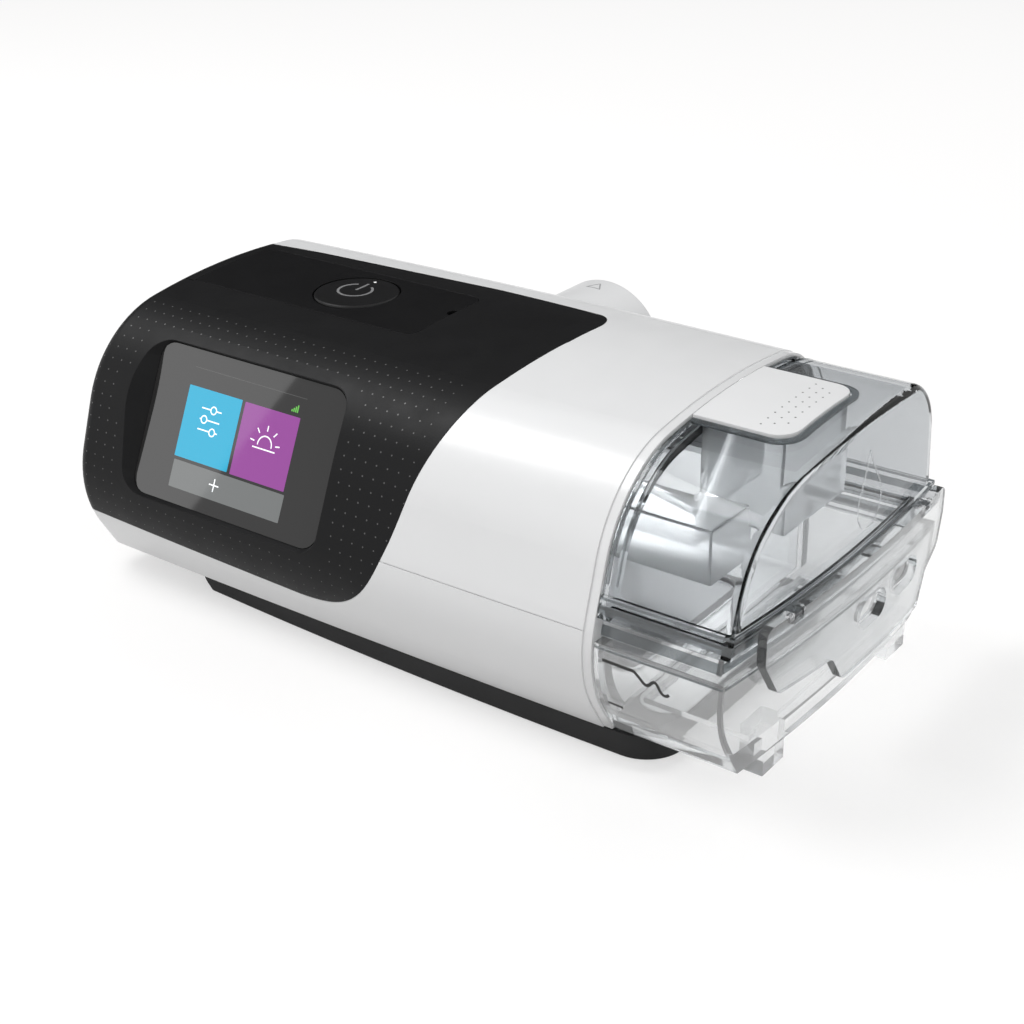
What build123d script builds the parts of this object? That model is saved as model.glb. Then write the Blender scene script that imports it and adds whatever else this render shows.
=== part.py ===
"""Bedside CPAP machine with a slide-in water tub, each piece in its own node, in millimetres.

Frame: +X points to the tub's end, +Y to the rear with the air outlet, +Z up. The origin lies on the
surface that the machine stands on, under the centre of its overall box.
"""
from build123d import *
import math
import os

# ---- casing: side profile, plan and ends -------------------------------------------------------
LEFT_X = -129.9          # left end of the casing where its leaning plane meets the base
SEAM_X = 77.2            # right end of the casing halves
TOP_Z = 94.5             # crown of the casing
BASE_Z = 8.0             # underside of the casing
FRONT_Y = -68.3          # furthest front of the profile, at either end
FRONT_BOW = 0.95         # how much further front the middle stands
REAR_LEFT_Y = 52.5       # rear wall at the left end
REAR_SEAM_Y = 55.5       # rear wall at the seam
REAR_BOW = 3.0
CROWN_Y = 10.0           # where the top is highest
CROWN_R = 256.0
SHOULDER_R = 40.0
FRONT_LEAN = 17.2        # lean of the front above the belly, degrees from upright
BELLY_R = 37.0
BELLY_Z = 37.0           # height of the furthest front
TOE_TURN = 31.0          # where the belly arc runs into the straight toe, degrees below level
REAR_TOP_R = 20.0
REAR_BOTTOM_R = 8.0
END_LEAN = 2.25          # inward lean of the left end, degrees
END_ROUND = 5.0
END_ROUND_LEAST = 1.0    # of the end's inner face
RUN_ON = 1.0             # how far the casing's inner form runs past the seam
WALL = 2.6
PART_Z = 44.6            # parting line of the casing halves
SKIN_GAP = 0.15          # seam between neighbouring covers
REACH = 200.0            # longer than any piece, for cuts that run right through

# ---- fascia: the sweeping edge, seen at 45 degrees from the front and above ----------------------
FASCIA_TIP = (22.2, 80.0)
FASCIA_SWEEP = [(22.1, 70.0), (21.3, 57.0), (18.2, 28.0), (10.0, -3.3), (1.0, -22.7)]
FASCIA_TOE = (-27.0, -31.3)
FASCIA_START, FASCIA_END = (1.0, 0.02), (0.0, 1.0)     # directions of the sweep at its toe and its tip
FASCIA_BACK = [(-121.0, 85.2), (-40.0, 89.8), (22.0, 88.6)]
FASCIA_TIP_R = 7.5
FASCIA_BELOW = 4.0       # how far the outline runs below the toe, where the foot plane cuts it
FASCIA_BEYOND = 50.0     # how far it runs past the left end
FASCIA_FOOT_Z = 24.6     # lower edge at the left end
FASCIA_FOOT_FALL = 1.84  # degrees that the lower edge falls towards the toe
FASCIA_END_Y = 27.6      # rear edge on the left end
FASCIA_END_TURN = 3.4    # degrees that the rear edge turns back towards the right

# ---- screen ------------------------------------------------------------------------------------------
SCREEN_FOOT = (-68.5, 37.5)   # y, z of the lower edge on the skin
SCREEN_LEAN = 24.85
SCREEN_X0, SCREEN_X1 = -105.0, -21.5
SCREEN_DROP = 8.45       # upper edge below the crown
SCREEN_ROUND = 6.0
GLASS_SINK = 1.0
GLASS_T = 1.2
GLASS_MARGIN = 1.6
GASKET_T = 0.5
SEAT_GAP = 0.15
BEVEL = 34.0             # slope of the recess's edge above the glass, degrees
DISPLAY_T = 4.0
DISPLAY_MARGIN = 6.0
FRAME_LIP = 3.0
FRAME_BACK = 6.6         # depth of the recess frame behind the screen plane
BRACKET_T = 1.2
BRACKET_OVER = 4.0

# ---- top panel and start button ------------------------------------------------------------------
PANEL_X0, PANEL_X1 = -118.6, -23.2
PANEL_Y0, PANEL_Y1 = -16.0, 21.5
PANEL_T = 1.3
PANEL_ROUND = 5.0
PANEL_TIGHT_ROUND = 1.0  # at the front left corner
PANEL_REACH = 20.8       # height of the upright cut on the panel's outline
NOTCH_Y = 5.0
NOTCH_R = 2.2
BUTTON_X, BUTTON_Y = -62.3, 3.0
BUTTON_R = 14.3
BUTTON_GAP = 0.45
BUTTON_SINK = 0.05       # button's top below the crown
BUTTON_CAP_T = 4.05
BUTTON_DISH = 0.35
BUTTON_EDGE_R = 0.9
BUTTON_FLANGE_R = 16.6
BUTTON_FLANGE_T = 1.5
BUTTON_TRAVEL = 1.2
STEM_R = 3.0
STEM_GAP = 0.2           # stem's end above the pressed switch
GUIDE_R = 19.0
GUIDE_WALL = 1.8
GUIDE_GAP = 1.5          # guide's top below the fascia's inner face
GUIDE_H = 10.9
GUIDE_FLOOR_T = 1.2
BUTTON_BOARD_R, BUTTON_BOARD_T = 15.0, 1.2
SWITCH_SIDE = 6.0
SWITCH_T = 1.1
PLUNGER_R, PLUNGER_L = 1.5, 0.6
SPRING_R, SPRING_W = 14.0, 2.0
SPRING_GAP = 0.1

# ---- plinth and feet -----------------------------------------------------------------------------------
PLINTH_FRONT = [(-92.0, -53.0), (0.0, -56.8), (96.0, -56.4)]
PLINTH_REAR_Y = 46.0
PLINTH_ROUND = 13.0
PLINTH_LIFT = 0.5        # the plinth's underside stands this far off the table
PLINTH_TOP_GAP = 0.05
PLINTH_END_LEAN = 47.0   # lean of the plinth's left end, degrees from upright
FOOT_R, FOOT_T, FOOT_GAP = 5.5, 1.7, 0.1
FOOT_SPOTS = [(-72.0, -44.0), (-72.0, 36.0), (80.0, -42.0), (80.0, 34.0)]
SCREW_SPOTS = [(-76.0, -38.0), (-76.0, 28.0), (2.0, -38.0), (2.0, 28.0)]
SCREW_R, SCREW_HEAD_R, SCREW_HEAD_T = 1.5, 2.8, 1.6
SCREW_PILOT_GAP = 0.05
SCREW_HEAD_Z = 5.0
SCREW_TIP_GAP = 1.1      # screw's tip below the boss's top
BOSS_WALL = 1.9
POCKET_GAP = 0.5         # counterbore wider than the screw's head

# ---- tub bay -------------------------------------------------------------------------------------------
BAY_X = 18.0             # closed inner end of the bay
LINER_INSET = 3.0        # liner's outer face below the casing's skin
LINER_T = 1.6
RIM_L = 3.0              # length of the white ring at the bay's mouth
RIM_INSET = 0.35
TUB_GAP = 0.4            # running clearance of the tub
HEATER_X0, HEATER_X1 = 27.0, 73.0
HEATER_Y0, HEATER_Y1 = -35.0, 29.0
HEATER_T = 1.5
HEATER_LIFT = 0.1        # heater plate's top above the liner's floor
ELEMENT_T = 0.5
ELEMENT_MARGIN = 3.0
INSULATOR_SKIN = 0.6     # casing left under the insulator
HEATER_ROUND = 6.0
HEATER_GAP = 0.1

# ---- tub -------------------------------------------------------------------------------------------------
TUB_WALL = 2.2
TUB_SKIRT_INSET = 1.0    # outer face of the lower tub below the casing's line
LID_INSET = 1.2
FLANGE_INSET = 0.4
TUB_END_X = 125.3        # end of the lid, at the middle of its bowed end
END_BOW_R = 560.0
DEPTH_HALF = 75.0        # half width of the bowed end's space, wider than the tub
LID_LEAN = 2.2          # inward lean of the lid's end towards the top
SKIRT_LEAN = 3.0         # inward lean of the lower end towards the table
TUB_RIM_DROP = 46.5      # top of the lower tub below the crown
SEAL_T = 1.2
SEAL_IN = 0.3            # seal's outer edge inside the rim's
SEAL_W = 1.6
FLANGE_H = 6.3
STEP_DROP = 6.0          # ledge on top of the lower tub's skirt, below the rim
TUB_FLOOR_T = 3.0
LID_END_ROUND = 3.0
HOLLOW_X = (84.0, 117.0)
HOLLOW_Y = (-46.0, 46.0)
TUB_FOOT_SPOTS = [(116.5, -36.0), (116.5, 42.0)]
TUB_FOOT_SIZE = (9.0, 12.0)
PLATE_MARGIN = 2.0       # tub's plate wider than the heater
PLATE_T = 1.4
PLATE_SEAL_T = 0.5
PLATE_LEDGE = 2.2
PLATE_GAP = 0.05

# ---- thumb pad and lid duct ------------------------------------------------------------------------
PAD_X1 = 111.3
PAD_Y0, PAD_Y1 = -18.5, 21.8
PAD_ROUND = 7.0
PAD_INSET = 0.2
PAD_T = 2.1
DUCT_WALL = 1.6
DUCT_MARGIN = 2.0        # duct narrower than the pad above it
DUCT_DROP = 32.5         # duct's open foot below the crown
DUCT_SIDE = 17.0         # square run from the inlet port to the duct under the pad
DUCT_TURN_X = 99.0       # where that run ends beside the duct

# ---- air ports in the bay's inner end; each drop is the port's middle below the crown ------------
INLET_Y, INLET_DROP, INLET_R = -28.0, 34.5, 8.3
RETURN_Y, RETURN_DROP, RETURN_R = 28.0, 25.0, 9.0
PORT_SEAL_W = 2.2
PORT_SEAL_T = 0.9
PORT_GAP = 0.3           # tub's inner end clear of the port seals

# ---- latch; its outline, windows and pivot are given from the flange's top down ----------------------
LATCH_OFF = 1.6          # latch's inner face beyond the lid's end
LATCH_T = 2.8
LATCH_LEFT = [(-55.0, -0.5), (-55.0, -11.5), (-48.0, -23.0), (-20.0, -25.0), (-13.0, -35.0)]
LATCH_RIGHT = [(38.0, -35.0), (43.0, -24.5), (52.0, -19.5), (55.0, -9.5), (55.0, -0.5)]
LATCH_ROUND = 3.0
WINDOWS = [(3.7, -19.5), (26.0, -18.5)]
WINDOW_L, WINDOW_H = 17.0, 9.6
STUD_GAP = 1.5
STUD_OUT = 0.6           # stud's end beyond the latch's inner face
PIVOT_DROP = 2.0
PIVOT_Y = 40.0
PIN_R = 0.7
PIN_L = 8.0
PIN_GAP = 0.06
LUG_W = 3.4
LUG_R = 1.4
LUG_GAP = 0.5

# ---- air outlet ----------------------------------------------------------------------------------------
OUTLET_X = -5.0
OUTLET_END_Y = 69.25
COLLAR_R = 22.0
COLLAR_WALL = 2.5
COLLAR_Y0, COLLAR_Y1 = 44.5, 66.0
COLLAR_WEB_Y, COLLAR_WEB_T = 54.0, 2.5
COLLAR_GAP = 0.35
HOSE_R = 11.0            # 22 mm standard hose port
PORT_WALL = 1.8
TUBE_R = 10.9
ELBOW_R = 17.0
ELBOW_GAP = 0.3
SOCKET_WALL = 2.0
SOCKET_GAP = 0.4
SOCKET_L = 7.0
SOCKET_FLOOR = 3.0
RING_OFF, RING_W, RING_SINK, RING_GAP = 1.6, 1.8, 0.8, 0.1

# ---- filter and its cover ---------------------------------------------------------------------------
DOOR_X0, DOOR_X1 = -117.2, -85.3   # hinge line and free edge
DOOR_Z0, DOOR_Z1 = 19.3, 66.7
DOOR_T = 2.0
DOOR_GAP = 0.4
DOOR_SINK = 1.4          # hinge line below the skin
KNUCKLE_R = 1.35
HINGE_PIN_R, HINGE_PIN_L, HINGE_PIN_GAP = 0.8, 2.0, 0.08
FILTER_T = 3.2
FILTER_MARGIN = 1.2      # filter's edge inside the door's
FILTER_LEDGE = 2.6       # width of the chamber's rim that the filter rests on
CHAMBER_X0, CHAMBER_X1 = -120.0, -84.0
CHAMBER_Y0, CHAMBER_Y1 = 16.0, 47.6
CHAMBER_Z0 = 11.4
CHAMBER_DROP = 15.5      # chamber's top below the crown
CHAMBER_WALL = 1.6
FOAM_GAP = 0.3
FOAM_DROP = 11.0         # foam's top below the chamber's
FOAM_Y1 = 40.0

# ---- card slot ---------------------------------------------------------------------------------------------
FLAP_Y = 13.5            # half width
FLAP_Z0, FLAP_Z1 = 47.0, 65.0
FLAP_T = 1.8
CARD_L, CARD_W, CARD_T = 32.0, 24.0, 2.1
CARD_X0 = -124.0
CARD_Z = 56.0
CARD_SOCKET_T = 1.1
CARD_SOCKET_L = 23.0
CARD_GAP = 0.15
CARD_POST_R = 3.0
CARD_POST_X = [-118.0, -104.0]

# ---- blower ------------------------------------------------------------------------------------------------
BLOWER_X, BLOWER_Y = -40.0, -4.0
BLOWER_R, BLOWER_WALL = 35.0, 2.0
BLOWER_H = 40.0
BLOWER_IN_R = 14.0
CHANNEL_SIDE = 18.0
CHANNEL_END_X = -2.0
MOUNT_R, MOUNT_RING_R = 4.0, 26.0
MOUNT_L = 10.0
MOTOR_R, MOTOR_BORE_R = 17.0, 9.0
MOTOR_H = 16.0
MOTOR_CAP_T = 2.5
SHAFT_R, SHAFT_GAP = 2.0, 0.05
BEARING_R, BEARING_T = 5.0, 2.5
ROTOR_R, ROTOR_L = 8.2, 9.0
WHEEL_R, WHEEL_H, WHEEL_FLOOR = 28.0, 9.0, 1.4
WHEEL_LIFT = 4.0         # wheel above the motor
BLADES, BLADE_T = 9, 1.3
HUB_R, HUB_H = 5.5, 7.0
BLADE_L, BLADE_TURN, BLADE_RING_R = 20.0, 35.0, 17.0
SHAFT_FOOT_GAP, SHAFT_TOP_GAP = 0.3, 0.8
CHANNEL_BORE_R = 7.5
BELLOWS_R, BELLOWS_WALL, BELLOWS_GAP = 9.5, 1.2, 0.3
HOOD_R = 17.0
HOOD_H = 7.0             # room for the hood above the blower
HOOD_WALL = 1.1
HOOD_GAP = 0.3
HOOD_MOUTH_L = 4.0       # length of the hood's straight end at the chamber
HOOD_MOUTH_IN = 2.0      # mouth narrower than the chamber's wall at either side

# ---- electronics -----------------------------------------------------------------------------------------
BOARD_X0, BOARD_X1 = -82.0, 8.0
BOARD_Y0, BOARD_Y1 = -46.0, 34.0
BOARD_Z, BOARD_T = 14.6, 1.6
BOARD_HOLE_GAP = 1.0
CHIPS = [(-62.0, -35.0, 14.0, 12.0, 4.0), (-6.0, 8.0, 16.0, 22.0, 5.0),
         (-30.0, -36.0, 18.0, 10.0, 6.0), (-72.0, 6.0, 8.0, 14.0, 5.0)]
RIBBON_X, RIBBON_W, RIBBON_T = -62.0, 18.0, 0.3
RIBBON_PATH = [(-57.6, 41.4), (-55.0, 31.0), (-50.0, 20.0), (-43.0, 16.5)]
RIBBON_BEND_R = 3.0
SENSOR_T = 1.2
SENSOR_Y, SENSOR_Z = (20.0, 40.0), (40.0, 60.0)
POWER_X, POWER_Z = -52.0, 26.0
POWER_R, POWER_BORE_R, POWER_DEPTH = 7.0, 4.2, 11.0
POWER_Y0, POWER_Y1 = 40.0, 56.0
POWER_BLOCK_W, POWER_BLOCK_H = 20.0, 15.0
POWER_BLOCK_END_Y = 52.4


# ---- shapes that several pieces share --------------------------------------------------------------
def bow(x):
    """Share of the full bow at station x: 1 in the middle of the casing, 0 at its ends and beyond."""
    middle, half = (LEFT_X + SEAM_X) / 2, (SEAM_X - LEFT_X) / 2
    return max(0.0, 1.0 - ((x - middle) / half) ** 2)


def front_y(x):
    """Furthest front of the casing at station x."""
    return FRONT_Y - FRONT_BOW * bow(x)


def rear_y(x):
    """Rear wall of the casing at station x."""
    share = min(1.0, (x - LEFT_X) / (SEAM_X - LEFT_X))
    return REAR_LEFT_Y + share * (REAR_SEAM_Y - REAR_LEFT_Y) + REAR_BOW * bow(x)


def crown_z(y):
    """Height of the casing's top at depth y, between its rounded corners."""
    return TOP_Z - CROWN_R + math.sqrt(CROWN_R ** 2 - (y - CROWN_Y) ** 2)


def section(x, inset=0.0):
    """Side profile of the casing at station x, drawn in from the skin by inset."""
    front, rear = front_y(x), rear_y(x)
    lean, toe_turn = math.radians(FRONT_LEAN), math.radians(TOE_TURN)
    belly_y = front + BELLY_R
    chest = (belly_y - BELLY_R * math.cos(lean), BELLY_Z + BELLY_R * math.sin(lean))
    shin = (belly_y - BELLY_R * math.cos(toe_turn), BELLY_Z - BELLY_R * math.sin(toe_turn))
    toe = (shin[0] + (shin[1] - BASE_Z) * math.tan(toe_turn), BASE_Z)
    along = (math.sin(lean), math.cos(lean))
    to_chest = (chest[0] - CROWN_Y, chest[1] - (TOP_Z - CROWN_R))
    dot = to_chest[0] * along[0] + to_chest[1] * along[1]
    rise = -dot + math.sqrt(dot ** 2 - to_chest[0] ** 2 - to_chest[1] ** 2 + CROWN_R ** 2)
    shoulder = (chest[0] + rise * along[0], chest[1] + rise * along[1])
    back = (rear, crown_z(rear))
    heel = (rear, BASE_Z)
    with BuildSketch(Plane.YZ.offset(x)) as face:
        with BuildLine():
            Line(toe, shin)
            ThreePointArc(shin, (front, BELLY_Z), chest)
            Line(chest, shoulder)
            ThreePointArc(shoulder, (CROWN_Y, TOP_Z), back)
            Polyline(back, heel, toe)
        make_face()
        fillet(face.vertices().sort_by_distance(shoulder)[0], SHOULDER_R)
        fillet(face.vertices().sort_by_distance(back)[0], REAR_TOP_R)
        fillet(face.vertices().sort_by_distance(heel)[0], REAR_BOTTOM_R)
        if inset:
            offset(amount=-inset)
    return face.sketch


def casing_form(inset, x_from=LEFT_X, x_to=SEAM_X):
    """Solid casing shape, drawn in by inset, between two stations."""
    with BuildPart() as form:
        for x in (x_from, (x_from + x_to) / 2, x_to):
            add(section(x, inset))
        loft()
    return form.part


def end_plane(inset=0.0):
    """Plane of the left end, with its normal pointing out and its y axis pointing up."""
    lean = math.radians(END_LEAN)
    out = Vector(-math.cos(lean), 0, math.sin(lean))
    return Plane(origin=Vector(LEFT_X, 0, BASE_Z) - out * inset, x_dir=(0, -1, 0), z_dir=out)


def casing_solid(inset):
    """Casing shape with its leaning, rounded left end; an inset one runs on past the seam."""
    blank = casing_form(inset, LEFT_X, SEAM_X + (RUN_ON if inset else 0.0))
    with BuildPart() as solid:
        add(blank)
        split(bisect_by=end_plane(inset), keep=Keep.BOTTOM)
        end = solid.faces().sort_by(Axis.X)[0]
        fillet(end.edges(), max(END_ROUND - inset, END_ROUND_LEAST))
    return solid.part


def fascia_field():
    """Space that the fascia takes."""
    slant = Plane(origin=(0, 0, 0), x_dir=(1, 0, 0), z_dir=(0, -1, 1))
    left = LEFT_X - FASCIA_BEYOND
    fall = math.radians(FASCIA_FOOT_FALL)
    foot = Plane(origin=(LEFT_X, 0, FASCIA_FOOT_Z), z_dir=(math.sin(fall), 0, math.cos(fall)))
    turn = math.radians(FASCIA_END_TURN)
    rear = Plane(origin=(LEFT_X, FASCIA_END_Y, 0), z_dir=(-math.sin(turn), math.cos(turn), 0))
    with BuildPart() as field:
        with BuildSketch(slant) as outline:
            with BuildLine():
                back = ThreePointArc(*FASCIA_BACK)
                Line(back @ 0, (left, FASCIA_BACK[0][1]))
                Line((left, FASCIA_BACK[0][1]), (left, FASCIA_TOE[1] - FASCIA_BELOW))
                Line((left, FASCIA_TOE[1] - FASCIA_BELOW), FASCIA_TOE)
                Spline(FASCIA_TOE, *reversed(FASCIA_SWEEP), FASCIA_TIP, tangents=[FASCIA_START, FASCIA_END])
                Line(FASCIA_TIP, FASCIA_BACK[-1])
            make_face()
            fillet(outline.vertices().sort_by_distance(FASCIA_BACK[-1])[0], FASCIA_TIP_R)
        extrude(amount=REACH, both=True)
        split(bisect_by=foot, keep=Keep.TOP)
        split(bisect_by=rear, keep=Keep.BOTTOM)
    return field.part


def run(x_from, x_to, inset):
    """Straight form with the seam's profile, drawn in by inset, between two stations."""
    profile = section(SEAM_X, inset).moved(Location((x_from - SEAM_X, 0, 0)))
    with BuildPart() as solid:
        extrude(to_extrude=profile, amount=x_to - x_from, dir=(1, 0, 0))
    return solid.part


def end_x(inset, y=0.0):
    """Where the tub's bowed end stands at depth y, for a form drawn in by inset."""
    return TUB_END_X + LID_INSET - inset - y ** 2 / (2 * END_BOW_R)


def end_space(inset, z_low, z_high, lean=0.0, z_upright=0.0):
    """Space inside the tub's bowed end; the end leans in above z_upright, or below it if lean is negative."""
    middle = end_x(inset)
    corner = end_x(inset, DEPTH_HALF)
    with BuildPart() as space:
        for z in (z_low, z_high):
            shift = (z_upright - z) * math.tan(math.radians(lean))
            with BuildSketch(Plane((shift, 0, z))):
                with BuildLine():
                    ThreePointArc((corner, -DEPTH_HALF), (middle, 0), (corner, DEPTH_HALF))
                    Polyline((corner, DEPTH_HALF), (0, DEPTH_HALF), (0, -DEPTH_HALF), (corner, -DEPTH_HALF))
                make_face()
        loft(ruled=True)
    return space.part


def tub_form(inset, x_from, z_low, z_high, lean=0.0, z_upright=0.0):
    """Form with the casing's profile, drawn in by inset, that ends in the tub's bowed end."""
    with BuildPart() as form:
        add(run(x_from, TUB_END_X + 2 * LATCH_T, inset))
        add(end_space(inset, z_low, z_high, lean, z_upright), mode=Mode.INTERSECT)
    return form.part


def block(x_span, y_span, z_span, mode=Mode.ADD):
    """Box between the given limits, in the current block."""
    spans = (x_span, y_span, z_span)
    with Locations(tuple((low + high) / 2 for low, high in spans)):
        return Box(*(high - low for low, high in spans), mode=mode)


def around(middle, width):
    """Limits of a span of the given width round its middle."""
    return (middle - width / 2, middle + width / 2)


def shrink(span):
    """Span drawn in by the lid duct's wall at either end."""
    return (span[0] + DUCT_WALL, span[1] - DUCT_WALL)


def upright(x, y, z_low, z_high, radius, mode=Mode.ADD):
    """Upright cylinder between two heights, in the current block."""
    with Locations((x, y, (z_low + z_high) / 2)):
        return Cylinder(radius, z_high - z_low, mode=mode)


def lengthwise(x_low, x_high, y, z, radius, mode=Mode.ADD):
    """Cylinder along X, in the current block."""
    with Locations(((x_low + x_high) / 2, y, z)):
        return Cylinder(radius, x_high - x_low, rotation=(0, 90, 0), mode=mode)


def backwards(y_low, y_high, x, z, radius, mode=Mode.ADD):
    """Cylinder along Y, in the current block."""
    with Locations((x, (y_low + y_high) / 2, z)):
        return Cylinder(radius, y_high - y_low, rotation=(90, 0, 0), mode=mode)


def save(piece, label):
    """Label a finished piece and write it to its own STEP file."""
    piece.part.label = label
    export_step(piece.part, f"parts/{label}.step")


os.makedirs("parts", exist_ok=True)

# ---- sizes that follow from the driving ones -----------------------------------------------------
BAY_INSET = LINER_INSET + LINER_T                   # liner's inner face
TUB_INSET = BAY_INSET + TUB_GAP
TUB_X0 = BAY_X + LINER_T + PORT_SEAL_T + PORT_GAP
LID_X0 = SEAM_X + RIM_L + TUB_GAP                   # visible part of the tub starts here
TUB_RIM_Z = TOP_Z - TUB_RIM_DROP
STEP_Z = TUB_RIM_Z - STEP_DROP
LID_FOOT_Z = TUB_RIM_Z + SEAL_T
FLANGE_TOP_Z = LID_FOOT_Z + FLANGE_H
PIVOT_Z = FLANGE_TOP_Z - PIVOT_DROP
WINDOW_SPOTS = [(y, FLANGE_TOP_Z + drop) for y, drop in WINDOWS]
INLET_Z = TOP_Z - INLET_DROP
RETURN_Z = TOP_Z - RETURN_DROP
DUCT_X = (LID_X0 + TUB_WALL, PAD_X1 - DUCT_MARGIN)
DUCT_Y = (PAD_Y0 + DUCT_MARGIN, PAD_Y1 - DUCT_MARGIN)
DUCT_LOW_Z = TOP_Z - DUCT_DROP
INLET_RUN_Y = around(INLET_Y, DUCT_SIDE)
INLET_RUN_Z = around(INLET_Z, DUCT_SIDE)
FLOOR_Z = BASE_Z + WALL                             # top of the casing's floor
TUB_BASE_Z = BASE_Z + TUB_INSET
TUB_FLOOR_Z = TUB_BASE_Z + TUB_FLOOR_T
PLATE_Z = TUB_BASE_Z + PLATE_GAP
PLATE_SEAL_Z = PLATE_Z + PLATE_T + PLATE_GAP
REBATE_Z = PLATE_SEAL_Z + PLATE_SEAL_T
HEATER_TOP_Z = BASE_Z + BAY_INSET + HEATER_LIFT
ELEMENT_Z = HEATER_TOP_Z - HEATER_T - ELEMENT_T
SCREEN_W = SCREEN_X1 - SCREEN_X0
SCREEN_H = (TOP_Z - SCREEN_DROP - SCREEN_FOOT[1]) / math.cos(math.radians(SCREEN_LEAN))
SCREEN_SEAT = GLASS_SINK + GLASS_T + GASKET_T
DOOR_Y = rear_y(DOOR_X0) - DOOR_SINK
DOOR_HOLE_X = (DOOR_X0 - KNUCKLE_R - DOOR_GAP, DOOR_X1 + DOOR_GAP)
DOOR_HOLE_Z = (DOOR_Z0 - DOOR_GAP, DOOR_Z1 + DOOR_GAP)
FLAP_W, FLAP_H = 2 * FLAP_Y, FLAP_Z1 - FLAP_Z0
FLAP_UP = (FLAP_Z0 + FLAP_Z1) / 2 - BASE_Z          # middle of the card cover above the end plane's foot
FLAP_HINGE = FLAP_Y - KNUCKLE_R
SOCKET_X0 = CARD_POST_X[0] - CARD_POST_R
ELBOW_X = OUTLET_X + ELBOW_R
ELBOW_END_Y = RETURN_Y + ELBOW_R
PORT_Y = ELBOW_END_Y + SOCKET_GAP
RING_Y = PORT_Y + RING_OFF
PIVOT_X = end_x(LID_INSET, PIVOT_Y) + LATCH_OFF + LATCH_T / 2
GUIDE_TOP_Z = TOP_Z - WALL - GUIDE_GAP
GUIDE_FLOOR_Z = GUIDE_TOP_Z - GUIDE_H
BUTTON_BOARD_Z = GUIDE_FLOOR_Z + GUIDE_FLOOR_T
SWITCH_Z = BUTTON_BOARD_Z + BUTTON_BOARD_T
PLUNGER_Z = SWITCH_Z + SWITCH_T + PLUNGER_L
BUTTON_TOP_Z = TOP_Z - BUTTON_SINK
BUTTON_CAP_Z = BUTTON_TOP_Z - BUTTON_CAP_T
BUTTON_FLANGE_Z = BUTTON_CAP_Z - BUTTON_FLANGE_T
BOARD_TOP_Z = BOARD_Z + BOARD_T
CHAMBER_Z1 = TOP_Z - CHAMBER_DROP
FOAM_TOP_Z = CHAMBER_Z1 - FOAM_DROP
BLOWER_Z1 = CHAMBER_Z1 - HOOD_H
BLOWER_Z0 = BLOWER_Z1 - BLOWER_H
POST_TOP_Z = BLOWER_Z0 - MOUNT_L
MOTOR_Z0 = BLOWER_Z0 + BLOWER_WALL
MOTOR_Z1 = MOTOR_Z0 + MOTOR_H
WHEEL_Z = MOTOR_Z1 + WHEEL_LIFT
HUB_TOP_Z = WHEEL_Z + HUB_H
CHANNEL_Y = around(INLET_Y, CHANNEL_SIDE)
HOOD_Z = (BLOWER_Z1 + HOOD_GAP, CHAMBER_Z1)
MOUNT_SPOTS = [(BLOWER_X + MOUNT_RING_R * math.cos(math.radians(turn)),
                BLOWER_Y + MOUNT_RING_R * math.sin(math.radians(turn))) for turn in (90, 210, 330)]


def screen_plane(depth):
    """Plane of the screen, sunk by depth, with its y axis pointing up the screen."""
    lean = math.radians(SCREEN_LEAN)
    out = Vector(0, -math.cos(lean), math.sin(lean))
    middle = Vector((SCREEN_X0 + SCREEN_X1) / 2, *SCREEN_FOOT)
    return Plane(origin=middle - out * depth, x_dir=(1, 0, 0), z_dir=out)


def screen_outline(margin):
    """Rounded outline of the screen recess, smaller all round by margin, in the current sketch."""
    with Locations((0, SCREEN_H / 2)):
        return RectangleRounded(SCREEN_W - 2 * margin, SCREEN_H - 2 * margin, SCREEN_ROUND)


def screen_slab(margin, depth, thickness):
    """Plate with the screen's outline whose front lies at depth."""
    with BuildPart() as slab:
        with BuildSketch(screen_plane(depth + thickness)):
            screen_outline(margin)
        extrude(amount=thickness)
    return slab.part


def panel_prism(grow):
    """Upright prism on the top panel's outline, larger all round by grow."""
    tight = Vector(PANEL_X0 - grow, PANEL_Y0 - grow, GUIDE_FLOOR_Z)
    with BuildPart() as prism:
        with BuildSketch(Plane.XY.offset(GUIDE_FLOOR_Z)) as outline:
            with Locations(((PANEL_X0 + PANEL_X1) / 2, (PANEL_Y0 + PANEL_Y1) / 2)):
                Rectangle(PANEL_X1 - PANEL_X0 + 2 * grow, PANEL_Y1 - PANEL_Y0 + 2 * grow)
            fillet(outline.vertices().sort_by_distance(tight)[1:], PANEL_ROUND)
            fillet(outline.vertices().sort_by_distance(tight)[0], PANEL_TIGHT_ROUND)
        extrude(amount=PANEL_REACH)
    return prism.part


def heater_slab(grow, z_low, z_high):
    """Plate on the heater's outline, larger all round by grow."""
    with BuildPart() as slab:
        with BuildSketch(Plane.XY.offset(z_low)):
            with Locations(((HEATER_X0 + HEATER_X1) / 2, (HEATER_Y0 + HEATER_Y1) / 2)):
                RectangleRounded(HEATER_X1 - HEATER_X0 + 2 * grow, HEATER_Y1 - HEATER_Y0 + 2 * grow,
                                 HEATER_ROUND)
        extrude(amount=z_high - z_low)
    return slab.part


def pad_prism(x_from, grow):
    """Upright prism on the thumb pad's outline, larger at three sides by grow, from a given start."""
    with BuildPart() as prism:
        with BuildSketch(Plane.XY.offset(DUCT_LOW_Z)) as outline:
            with BuildLine():
                Polyline((x_from, PAD_Y0 - grow), (PAD_X1 + grow, PAD_Y0 - grow),
                         (PAD_X1 + grow, PAD_Y1 + grow), (x_from, PAD_Y1 + grow), close=True)
            make_face()
            fillet(outline.vertices().group_by(Axis.X)[-1], PAD_ROUND)
        extrude(amount=TOP_Z - DUCT_LOW_Z)
    return prism.part


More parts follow.
